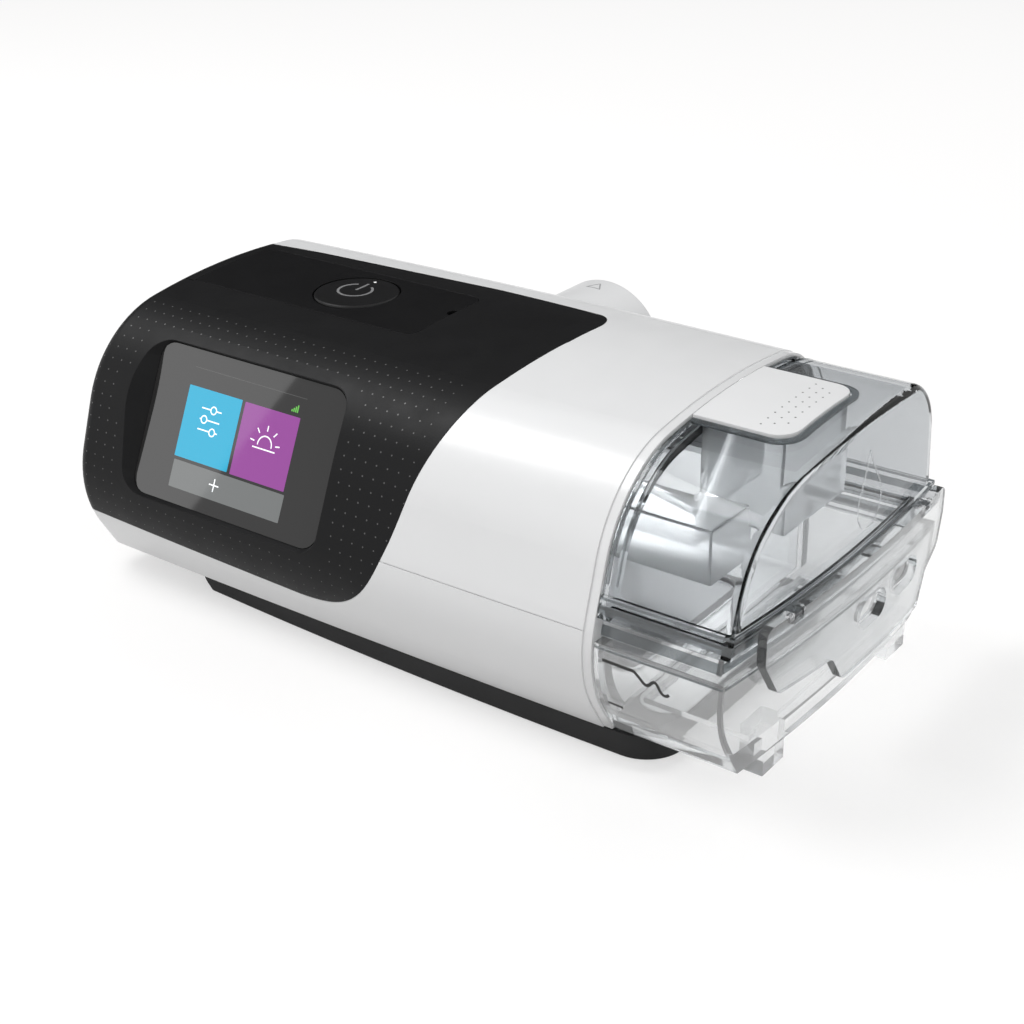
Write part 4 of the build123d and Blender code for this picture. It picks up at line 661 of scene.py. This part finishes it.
# ---- sub-assemblies ----
@dataclass
class Casing:
    """Black and white covers with the field of small dots round the screen.

    A fade holds the way over which a dot weakens and by how much. The flare holds where it starts, its
    slope and its least width.
    """

    nodes: Nodes
    axis: Point = (0.0, 20.0)
    pitch: float = 4.2
    row: float = 4.15
    x_span: Point = (-127.9, 16.0)
    turns: Point = (64.1, 3.0)
    turn_step: float = 0.1
    gauge_x: float = -10.0
    dot_r: float = 0.29
    dot_sides: int = 8
    smallest: float = 0.1
    lift: float = 0.02
    sink: float = 0.06
    strong: Point = (-58.0, 52.0)
    side_fade: Point = (34.0, 0.6)
    low_fade: Point = (24.0, 0.55)
    screen_x: Point = (-105.0, -21.5)
    screen_up: Point = (-2.5, 56.0)
    screen_flare: tuple[float, float, float] = (1.0, 0.7, 2.0)
    seam: tuple[Point, ...] = ((-118.9, -16.6), (-124.0, -16.3), (-129.0, -16.0))
    seam_width: float = 0.32
    seam_lifts: Point = (0.02, -0.04)

    def build(self) -> None:
        """Lay the dots and the top panel's seam on the fascia."""
        skin = Skin(self.nodes["front_fascia"])
        dots = Flat()
        for turn in self.row_turns(skin):
            for column in range(int((self.x_span[1] - self.x_span[0]) / self.pitch)):
                x = self.x_span[0] + column * self.pitch
                size = self.dot_r * self.strength(x, turn)
                if size > self.smallest:
                    self.add_dot(dots, (x, turn), size, skin)
        spots = (partial(self.touch, skin), partial(self.sunk, skin))
        make_piece("fascia_dots", thicken(dots, spots), DOT_GREY, Body.MACHINE)
        seam = strip(dense(list(self.seam), 0.8), self.seam_width)
        spots = skin.between(from_above, self.seam_lifts)
        make_piece("panel_seam", thicken(seam, spots), SEAM_BLACK, Body.MACHINE)

    def sunk(self, skin: Skin, point: Point) -> Vector:
        """The same place a little below the skin."""
        return self.touch(skin, point) + round_x(self.axis, point)[1] * self.sink

    def touch(self, skin: Skin, point: Point) -> Vector | None:
        """Place on the fascia at a station and an angle round the axis."""
        return skin.spot(partial(round_x, self.axis), self.lift, point)

    def row_turns(self, skin: Skin) -> list[float]:
        """Angles at which the rows lie, evenly spaced down the profile from the top row.

        Args:
            skin: The fascia's surface.

        Returns:
            The angles in degrees.
        """
        turns, length, last, turn = [], 0.0, None, self.turns[0]
        while turn > self.turns[1]:
            place = self.touch(skin, (self.gauge_x, turn))
            if place is not None:
                length += 0.0 if last is None else (place - last).length
                last = place
                if length >= self.row * len(turns):
                    turns.append(turn)
            turn -= self.turn_step
        return turns

    def strength(self, x: float, turn: float) -> float:
        """How strong a dot is: full round the screen, weaker away from it.

        Args:
            x: Station of the dot.
            turn: Its angle round the axis.

        Returns:
            Share of the full size.
        """
        across = max(0.0, abs(x - self.strong[0]) - self.strong[1]) / self.side_fade[0]
        downward = max(0.0, self.low_fade[0] - turn) / self.low_fade[0]
        return max(0.0, 1.0 - across ** 2 * self.side_fade[1] - downward * self.low_fade[1])

    def add_dot(self, flat: Flat, middle: Point, size: float, skin: Skin) -> None:
        """Add one dot where all of it lies on the fascia's outside.

        Args:
            flat: The mesh that gathers the dots.
            middle: Station and angle of the dot.
            size: Its radius.
            skin: The fascia's surface.
        """
        centre = self.touch(skin, middle)
        if centre is None or self.in_screen(centre):
            return
        per_degree = math.radians(1.0) * math.hypot(centre.y - self.axis[0], centre.z - self.axis[1])
        turns = [math.radians(turn) for turn in range(0, 360, 360 // self.dot_sides)]
        rim = [(middle[0] + size * math.cos(turn), middle[1] + size * math.sin(turn) / per_degree)
               for turn in turns]
        found = [self.touch(skin, point) for point in rim]
        if any(place is None or (place - centre).length > 3 * size for place in found):
            return
        count = self.dot_sides
        flat.join(Flat([middle, *rim], [(0, 1 + k, 1 + (k + 1) % count) for k in range(count)]))

    def in_screen(self, place: Vector) -> bool:
        """Whether a place lies in the screen's recess or at its edge, which flares outwards.

        Args:
            place: The place in mm.

        Returns:
            True in the recess or at its edge.
        """
        lean = math.radians(SCREEN_LEAN)
        y, z = place.y - SCREEN_FOOT[0], place.z - SCREEN_FOOT[1]
        up = y * math.sin(lean) + z * math.cos(lean)
        out = -y * math.cos(lean) + z * math.sin(lean)
        start, slope, margin = self.screen_flare
        flare = max(0.0, out + start) * slope + margin
        (left, right), (foot, head) = self.screen_x, self.screen_up
        return left - flare < place.x < right + flare and foot < up < head


@dataclass
class Screen:
    """Lit picture on the tilted glass, over its dark gloss film."""

    layers: tuple[Point, ...] = ((0.97, 1.03), (0.95, 0.985), (0.925, 0.96))
    line: float = 0.42
    film: Span = ((-103.43, -23.07), (1.57, 51.93))
    film_round: float = 6.0
    blue: Span = ((-88.0, -64.6), (16.7, 40.2))
    purple: Span = ((-63.3, -40.0), (16.5, 40.0))
    bar: Span = ((-87.7, -39.4), (6.6, 15.6))
    tile_round: float = 0.25
    header: Span = ((-87.2, 46.2), (-39.0, 46.2))
    header_line: float = 0.16
    slider_span: Point = (0.31, 0.68)
    knobs: tuple[Point, ...] = ((0.53, 0.257), (0.39, 0.408), (0.582, 0.552))
    knob_r: float = 1.2
    horizon: Span = ((0.29, 0.545), (0.7, 0.545))
    sun: Point = (0.495, 0.49)
    sun_r: float = 2.9
    sun_turns: Point = (-6.0, 192.0)
    rays: tuple[float, ...] = (8.0, 49.0, 90.0, 131.0, 172.0)
    ray_span: Point = (4.5, 6.3)
    plus_middle: Point = (0.396, 0.475)
    plus_reach: float = 2.1
    signal_foot: Point = (-44.0, 41.3)
    signal_pitch: float = 0.75
    signal_heads: Point = (42.0, 0.55)
    signal_width: float = 0.5

    def at(self, depth: float) -> Spot:
        """Surface at a depth behind the recess's edge.

        Args:
            depth: The depth in mm.

        Returns:
            The surface of points given by x and by height up the slope.
        """
        lean = math.radians(SCREEN_LEAN)
        up = Vector((0, math.sin(lean), math.cos(lean)))
        inward = Vector((0, math.cos(lean), -math.sin(lean)))
        return lambda point: Vector((point[0], *SCREEN_FOOT)) + up * point[1] + inward * depth

    def show(self, layer: int, name: str, flat: Flat, finish: Finish) -> None:
        """Make one element of the picture.

        Args:
            layer: Number of its layer: 0 for the film, 1 for the tiles, 2 for the signs.
            name: Name of the piece after display_.
            flat: Its shape.
            finish: Its finish.
        """
        high, low = self.layers[layer]
        shape = thicken(flat, (self.at(high), self.at(low)))
        make_piece(f"display_{name}", shape, finish, Body.MACHINE)

    def within(self, tile: Span, across: float, down: float) -> Point:
        """Place in a tile, given as shares of its width and height from its upper left corner."""
        (left, right), (foot, head) = tile
        return left + (right - left) * across, head - (head - foot) * down

    def build(self) -> None:
        """Make the film, the tiles, the header's line and the signs."""
        self.show(0, "film", plate(*self.film, self.film_round), SCREEN_FILM)
        self.show(1, "tile_blue", plate(*self.blue, self.tile_round), TILE_BLUE)
        self.show(1, "tile_purple", plate(*self.purple, self.tile_round), TILE_PURPLE)
        self.show(1, "bar", plate(*self.bar, self.tile_round), TILE_GREY)
        self.show(1, "header_line", strip(list(self.header), self.header_line), LINE_FAINT)
        self.draw_sliders()
        self.draw_sunrise()
        self.draw_plus()
        self.draw_signal()

    def draw_sliders(self) -> None:
        """Three slider lines, each with its open knob."""
        signs = Flat()
        for knob, down in self.knobs:
            start, end = (self.within(self.blue, across, down) for across in self.slider_span)
            x, y = self.within(self.blue, knob, down)
            signs.join(strip([start, (x - self.knob_r, y)], self.line))
            signs.join(strip([(x + self.knob_r, y), end], self.line))
            signs.join(strip(arc((x, y), self.knob_r, 0.0, 360.0, 24)[:-1], self.line, True))
        self.show(2, "sliders", signs, LINE_WHITE)

    def draw_sunrise(self) -> None:
        """Half sun with its rays over a level line."""
        signs = strip([self.within(self.purple, *end) for end in self.horizon], self.line)
        middle, (start, end) = self.within(self.purple, *self.sun), self.sun_turns
        signs.join(strip(arc(middle, self.sun_r, start, end, 24), self.line))
        for turn in self.rays:
            ray = [arc(middle, reach, turn, 0.0, 1)[0] for reach in self.ray_span]
            signs.join(strip(ray, self.line))
        self.show(2, "sunrise", signs, LINE_WHITE)

    def draw_plus(self) -> None:
        """Plus sign on the lower bar, from four arms round a middle square."""
        x, y = self.within(self.bar, *self.plus_middle)
        half, reach = self.line / 2, self.plus_reach
        left, right, low, high = x - half, x + half, y - half, y + half
        west, east, south, north = x - reach, x + reach, y - reach, y + reach
        sign = Flat([(left, low), (right, low), (right, high), (left, high),
                     (left, south), (right, south), (east, low), (east, high),
                     (right, north), (left, north), (west, high), (west, low)],
                    [(0, 1, 2, 3), (4, 5, 1, 0), (1, 6, 7, 2), (3, 2, 8, 9), (11, 0, 3, 10)])
        self.show(2, "plus", sign, LINE_WHITE)

    def draw_signal(self) -> None:
        """Four signal bars of rising height."""
        signs = Flat()
        (left, foot), (head, rise) = self.signal_foot, self.signal_heads
        for number in range(4):
            x = left + number * self.signal_pitch
            signs.join(strip([(x, foot), (x, head + number * rise)], self.signal_width))
        self.show(2, "signal", signs, BARS_GREEN)


@dataclass
class StartButton:
    """Round button with its power sign and indicator lamp."""

    nodes: Nodes
    middle: Point = (-64.5, 4.7)
    ring_r: float = 5.75
    ring_turns: Point = (120.0, 300.0)
    line: float = 0.85
    bar: Point = (0.4, 7.0)
    lifts: Point = (0.03, -0.05)
    lamp: Point = (-63.8, 14.1)
    lamp_r: float = 0.5
    wire: float = 0.9
    wire_sides: int = 8
    coils: int = 4
    coil_steps: int = 24
    pressed_share: float = 0.8

    def build(self) -> None:
        """Lay the sign and the lamp on the button's dish, and set the spring under it."""
        self.wind_spring()
        spots = Skin(self.nodes["start_button"]).between(from_above, self.lifts)
        sign = strip(arc(self.middle, self.ring_r, *self.ring_turns, 48), self.line)
        top = [(self.middle[0], self.middle[1] + reach) for reach in self.bar]
        sign.join(strip(dense(top, 0.8), self.line))
        make_piece("power_sign", thicken(sign, spots), MARK_GREY, Body.BUTTON)
        lamp = disc(self.lamp, self.lamp_r, 16)
        make_piece("button_lamp", thicken(lamp, spots), LAMP_WHITE, Body.BUTTON)

    def wind_spring(self) -> None:
        """Coil spring in the place of the plain ring, which is hidden."""
        low, high = (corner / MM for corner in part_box("button_spring"))
        middle, reach = (low + high) / 2, (high.x - low.x) / 2 - self.wire
        rise = high.z - low.z - 2 * self.wire
        rim, steps = self.wire_sides, self.coil_steps * self.coils
        vertices = []
        for step in range(steps + 1):
            turn = math.tau * step / self.coil_steps
            outward = Vector((math.cos(turn), math.sin(turn), 0.0))
            foot = Vector((middle.x, middle.y, low.z + self.wire + rise * step / steps))
            heart = foot + outward * reach
            for across, upward in arc((0.0, 0.0), self.wire / 2, 0.0, 360.0, rim)[:-1]:
                vertices.append(heart + outward * across + Vector((0, 0, upward)))
        faces = []
        for step in range(steps):
            near, far = rim * step, rim * (step + 1)
            faces += [(near + k, far + k, far + (k + 1) % rim, near + (k + 1) % rim) for k in range(rim)]
        faces += [tuple(range(rim)), tuple(reversed(range(rim * steps, rim * steps + rim)))]
        spring = make_piece("button_coil", (vertices, faces), STEEL, Body.MACHINE)
        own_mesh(spring)
        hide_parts("button_spring")


@dataclass
class WaterTub:
    """Clear tub: level marks on its front, a raised drop on its end, dots on the thumb pad, strips of
    painted shade along its edges and joints.
    """

    nodes: Nodes
    line: float = 0.95
    level: Span = ((83.4, 37.6), (93.6, 37.4))
    wave: tuple[Point, ...] = (
        (94.6, 36.7), (95.6, 35.9), (96.6, 34.9), (97.6, 34.4), (98.6, 34.8), (99.5, 35.8), (100.4, 36.2),
        (101.2, 35.6), (102.0, 34.2), (102.9, 33.2), (104.0, 33.1), (104.9, 33.8))
    low: Span = ((83.6, 22.5), (88.4, 22.3))
    level_lifts: Point = (0.05, -0.03)
    drop: tuple[Point, ...] = (
        (6.0, 83.5), (7.7, 80.0), (10.5, 75.5), (13.2, 71.0), (13.9, 67.0), (12.6, 63.2), (9.8, 60.6),
        (6.4, 59.8), (2.9, 60.8), (0.1, 63.6), (-0.8, 67.4), (0.2, 71.2), (2.4, 75.5), (4.6, 80.0))
    drop_line: float = 0.45
    drop_lifts: Point = (0.22, -0.05)
    pad_rows: tuple[tuple[float, float, int], ...] = (
        (100.0, -14.5, 9), (103.2, -12.5, 8), (106.4, -10.5, 7))
    pad_pitch: float = 4.0
    pad_dot_r: float = 0.3
    pad_lifts: Point = (0.02, -0.05)
    # clear lip round the pad: its shape is real, its darkness is painted shade
    lip: tuple[float, float, float, float] = (81.0, 112.6, -19.9, 23.2)
    lip_round: float = 7.0
    lip_width: float = 1.9
    lip_lifts: Point = (0.35, -0.9)
    shelf: Span = ((80.6, 94.5), (-47.0, 43.0))
    shelf_round: float = 6.0
    shelf_rises: Point = (0.45, 0.05)
    # strips of painted shade along the lid's joint with the housing: station and width of each
    joint_shades: tuple[Point, ...] = ((81.4, 0.9), (84.6, 0.5))
    joint_shade_axis: Point = (0.0, 45.0)
    joint_shade_turns: Point = (12.0, 168.0)
    joint_shade_lifts: Point = (0.12, -0.3)
    tub_axis: Point = (85.0, 3.0)
    rib_turns: Point = (-95.0, 95.0)
    rib_lifts: Point = (0.1, -0.35)
    # ribs whose darkness is painted shade: node, height and width of each
    ribs: tuple[tuple[str, float, float], ...] = (
        ("tub_lid", 54.6, 0.7), ("tub_lid", 51.6, 2.4), ("tub_base", 46.8, 1.0), ("tub_base", 43.8, 3.0),
        ("tub_base", 40.8, 0.6))

    def build(self) -> None:
        """Make the marks of the tub and its strips of painted shade."""
        self.mark_level()
        self.raise_drop()
        self.dot_pad()
        self.line_shelf()
        self.rim_pad()
        self.shade_lid_joint()
        self.shade_flange_ribs()

    def mark_level(self) -> None:
        """Full mark with its wave, and the low mark below it."""
        spots = Skin(self.nodes["tub_base"]).between(from_front, self.level_lifts)
        level = strip(smooth([*dense(list(self.level), 2.0), *self.wave]), self.line)
        make_piece("level_mark", thicken(level, spots), MARK_BLACK, Body.TUB)
        low = strip(dense(list(self.low), 1.0), self.line)
        make_piece("low_mark", thicken(low, spots), MARK_BLACK, Body.TUB)

    def raise_drop(self) -> None:
        """Outline of a water drop on the lid's end."""
        spots = Skin(self.nodes["tub_lid"]).between(from_right, self.drop_lifts)
        outline = strip(smooth([*self.drop, self.drop[0]])[:-1], self.drop_line, True)
        make_piece("lid_drop", thicken(outline, spots), CLEAR_LATCH, Body.TUB)

    def dot_pad(self) -> None:
        """Three staggered rows of small dots along the pad's free edge."""
        dots = Flat()
        for x, first, count in self.pad_rows:
            for number in range(count):
                dots.join(disc((x, first + number * self.pad_pitch), self.pad_dot_r, 12))
        spots = Skin(self.nodes["thumb_pad"]).between(from_above, self.pad_lifts)
        make_piece("pad_dots", thicken(dots, spots), PAD_DOT, Body.TUB)

    def line_shelf(self) -> None:
        """White sheet on the plinth's shelf below the tub."""
        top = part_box("base_plinth")[1].z / MM
        sheet = plate(*self.shelf, self.shelf_round)
        spots = tuple(lambda point, rise=rise: Vector((*point, top + rise)) for rise in self.shelf_rises)
        make_piece("dock_shelf", thicken(sheet, spots), LINER_WHITE, Body.MACHINE)

    def rim_pad(self) -> None:
        """Clear lip round the three free sides of the thumb pad, darkened with painted shade."""
        (left, right, front, rear), turn = self.lip, self.lip_round
        path = [(left, front), *arc((right - turn, front + turn), turn, 270.0, 90.0, 8),
                *arc((right - turn, rear - turn), turn, 0.0, 90.0, 8), (left, rear)]
        # painted shade: the lip gets the dark edge material in place of the dark look that refraction gives
        # it
        lip = strip(dense(path, 2.0), self.lip_width)
        spots = Skin(self.nodes["tub_lid"]).between(from_above, self.lip_lifts)
        make_piece("pad_lip", thicken(lip, spots), PAINTED_EDGE_SHADE, Body.TUB)

    def shade_lid_joint(self) -> None:
        """Strips of painted shade over the lid along its joint with the housing."""
        spots = Skin(self.nodes["tub_lid"]).between(partial(round_x, self.joint_shade_axis), self.joint_shade_lifts)
        # painted shade: dark strips in place of the dark look of the lid's edge at its joint
        for number, (x, width) in enumerate(self.joint_shades, 1):
            shade_strip = strip(dense([(x, turn) for turn in self.joint_shade_turns], 1.5), width)
            make_piece(f"lid_joint_shade_{number}", thicken(shade_strip, spots), PAINTED_EDGE_SHADE, Body.TUB)

    def shade_flange_ribs(self) -> None:
        """Ribs round the lid's flange and the tub's rim, darkened with painted shade."""
        for number, (node, z, width) in enumerate(self.ribs, 1):
            spots = Skin(self.nodes[node]).between(partial(round_z, self.tub_axis), self.rib_lifts)
            # painted shade: the ribs get the dark edge material in place of the dark look that refraction
            # gives them
            rib = strip(dense([(turn, z) for turn in self.rib_turns], 0.7), width)
            make_piece(f"flange_rib_{number}", thicken(rib, spots), PAINTED_EDGE_SHADE, Body.TUB)


def smooth(path: list[Point], parts: int = 4) -> list[Point]:
    """Rounded path through the same points.

    Args:
        path: Points to pass through.
        parts: Number of chords between neighbours.

    Returns:
        Points of a Catmull-Rom curve.
    """
    ends = [path[0], *path, path[-1]]
    if path[0] == path[-1]:
        ends = [path[-2], *path, path[1]]
    points = [path[0]]
    for a, b, c, d in zip(ends, ends[1:], ends[2:], ends[3:]):
        for part in range(1, parts + 1):
            t = part / parts
            points.append(tuple(
                0.5 * (2 * b[k] + (c[k] - a[k]) * t + (2 * a[k] - 5 * b[k] + 4 * c[k] - d[k]) * t ** 2
                       + (3 * b[k] - a[k] - 3 * c[k] + d[k]) * t ** 3) for k in range(2)))
    return points


@dataclass
class AirOutlet:
    """Collar for the hose with an open arrow on its top."""

    nodes: Nodes
    middle: Point = (-5.0, 59.5)
    half: float = 2.6
    foot_share: float = 0.7
    line: float = 0.5
    lifts: Point = (0.02, -0.05)

    def build(self) -> None:
        """Lay the arrow on the collar."""
        (x, y), half = self.middle, self.half
        foot = y - half * self.foot_share
        rim = dense([(x - half, foot), (x + half, foot), (x, y + half), (x - half, foot)], 0.6)
        arrow = strip(rim[:-1], self.line, True)
        spots = Skin(self.nodes["outlet_connector"]).between(from_above, self.lifts)
        make_piece("outlet_arrow", thicken(arrow, spots), ARROW_GREY, Body.OUTLET)


# ---- studio ----
@dataclass(frozen=True)
class Lamp:
    """Soft flat lamp, aimed at a place and turned about its own axis by some degrees."""

    name: str
    place: Place
    size: Point
    power: float
    aim: Place = (0.0, 0.0, 40.0)
    turn: float = 0.0
    seen: bool = True

    def build(self) -> None:
        """Add the lamp to the scene."""
        data = bpy.data.lights.new(self.name, "AREA")
        data.shape = "RECTANGLE"
        data.size, data.size_y = (side * MM for side in self.size)
        data.energy = self.power
        lamp = bpy.data.objects.new(self.name, data)
        bpy.context.scene.collection.objects.link(lamp)
        lamp.location = Vector(self.place) * MM
        sight = (Vector(self.aim) - Vector(self.place)).to_track_quat("-Z", "Y")
        lamp.rotation_euler = (sight @ Quaternion((0, 0, 1), math.radians(self.turn))).to_euler()
        lamp.visible_camera = lamp.visible_glossy = lamp.visible_transmission = self.seen


CARD_CORNERS = ((-1, -1), (1, -1), (1, 1), (-1, 1))
CARD_FACES: Faces = [(0, 1, 2, 3)]


def seen_or_mirrored(tree: bpy.types.NodeTree) -> Socket:
    """Socket that is 1 for rays from the camera, in a mirror or through glass.

    Args:
        tree: The node tree.

    Returns:
        The socket.
    """
    sight = tree.nodes.new("ShaderNodeLightPath")
    total = sight.outputs["Is Camera Ray"]
    for name in ("Is Glossy Ray", "Is Transmission Ray"):
        larger = tree.nodes.new("ShaderNodeMath")
        larger.operation = "MAXIMUM"
        tree.links.new(total, larger.inputs[0])
        tree.links.new(sight.outputs[name], larger.inputs[1])
        total = larger.outputs[0]
    return total


@dataclass
class Studio:
    """Pale floor, plain light and the camera."""

    floor_half: float = 4000.0
    floor_z: float = -0.05
    floor_color: Rgb = (1.0, 0.99, 0.985)
    floor_tone: float = 0.5
    floor_lift: float = 0.53
    sky_level: float = 0.62
    lamps: tuple[Lamp, ...] = (
        Lamp("key_lamp", (-720.0, -260.0, 1150.0), (560.0, 560.0), 7.0),
        Lamp("front_lamp", (-150.0, -1400.0, 500.0), (1200.0, 900.0), 2.4),
        Lamp("side_lamp", (1000.0, -250.0, 450.0), (700.0, 700.0), 1.5),
        Lamp("dock_lamp", (62.0, -12.0, 76.0), (50.0, 50.0), 0.1, (50.0, 45.0, 20.0), seen=False),
        Lamp("rear_lamp", (100.0, 900.0, 900.0), (900.0, 900.0), 1.2),
        Lamp("screen_softbox", (-949.9, -831.3, 347.3), (260.0, 300.0), 0.42, (-76.2, -51.8, 71.2), -7.5),
    )
    flag_middle: Place = (-815.0, 1005.0, 640.0)
    flag_aim: Place = (0.0, 0.0, 60.0)
    flag_half: Point = (1200.0, 620.0)
    eye: Place = (319.31, -421.65, 291.91)
    azimuth: float = 36.894
    elevation: float = 26.176
    roll: float = -0.863
    lens: float = 63.44

    def build(self) -> None:
        """Make floor, sky, lamps and camera."""
        self.lay_floor()
        self.hang_flag()
        self.light_sky()
        for lamp in self.lamps:
            lamp.build()
        self.set_camera()
        bpy.context.scene.view_settings.view_transform = "Standard"
        LOG.info("made studio")

    def lay_floor(self) -> None:
        """Floor whose lit part shows white, with the machine's shadow on it."""
        material = bpy.data.materials.new("pale_floor")
        material.use_nodes = True
        tree = material.node_tree
        shader = fill(tree.nodes["Principled BSDF"], {
            "Base Color": shade(self.floor_color, self.floor_tone), "Roughness": 0.9,
            "Specular IOR Level": 0.0, "Emission Color": (1, 1, 1, 1)})
        lift = tree.nodes.new("ShaderNodeMath")
        lift.operation = "MULTIPLY"
        lift.inputs[1].default_value = self.floor_lift
        tree.links.new(seen_or_mirrored(tree), lift.inputs[0])
        tree.links.new(lift.outputs[0], shader.inputs["Emission Strength"])
        rim = [Vector((x * self.floor_half, y * self.floor_half, 0.0)) for x, y in CARD_CORNERS]
        floor = add_mesh("floor", (rim, CARD_FACES), material)
        floor.location.z = self.floor_z * MM

    def hang_flag(self) -> None:
        """Dark card behind the machine that only its gloss mirrors, so that black covers stay black."""
        middle = Vector(self.flag_middle)
        back = (middle - Vector(self.flag_aim)).normalized()
        side = Vector((0, 0, 1)).cross(back).normalized()
        rise = back.cross(side)
        across, upward = self.flag_half
        rim = [middle + side * (x * across) + rise * (y * upward) for x, y in CARD_CORNERS]
        flag = add_mesh("dark_flag", (rim, CARD_FACES), RUBBER.material())
        flag.visible_camera = flag.visible_diffuse = flag.visible_transmission = flag.visible_shadow = False

    def light_sky(self) -> None:
        """White surroundings that light the machine at a plain level."""
        world = bpy.data.worlds.new("sky")
        bpy.context.scene.world = world
        world.use_nodes = True
        tree = world.node_tree
        background = fill(tree.nodes["Background"], {"Color": (1, 1, 1, 1)})
        level = fill(tree.nodes.new("ShaderNodeMapRange"), {"To Min": self.sky_level, "To Max": 1.0})
        tree.links.new(seen_or_mirrored(tree), level.inputs["Value"])
        tree.links.new(level.outputs["Result"], background.inputs["Strength"])

    def set_camera(self) -> None:
        """Camera at its place, with its slight roll."""
        data = bpy.data.cameras.new("camera")
        data.lens = self.lens
        data.sensor_width = 36.0
        data.clip_end = 50.0
        camera = bpy.data.objects.new("camera", data)
        bpy.context.scene.collection.objects.link(camera)
        stand = Matrix.Translation(Vector(self.eye) * MM)
        for turn, axis in ((self.azimuth, "Z"), (90.0 - self.elevation, "X"), (self.roll, "Z")):
            stand @= Matrix.Rotation(math.radians(turn), 4, axis)
        camera.matrix_world = stand
        bpy.context.scene.camera = camera


def dress(nodes: Nodes) -> None:
    """Give every CAD node its finish.

    Args:
        nodes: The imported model's nodes.
    """
    for name, node in sorted(nodes.items()):
        finish = NODE_FINISHES[name]
        node.data.materials.clear()
        node.data.materials.append(finish.material())
        node.visible_shadow = name in SHADED or not isinstance(finish, ClearFinish)
        LOG.info("dressed %s", name)


def main() -> None:
    """Load the frame, dress it, add the small pieces and the studio."""
    logging.basicConfig(level=logging.INFO, format="%(message)s")
    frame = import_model()
    nodes = frame["nodes"]
    dress(nodes)
    parts = (Casing(nodes), Screen(), StartButton(nodes), WaterTub(nodes), AirOutlet(nodes), Studio())
    for part in parts:
        part.build()
        LOG.info("built %s", type(part).__name__)


if __name__ == "__main__":
    main()
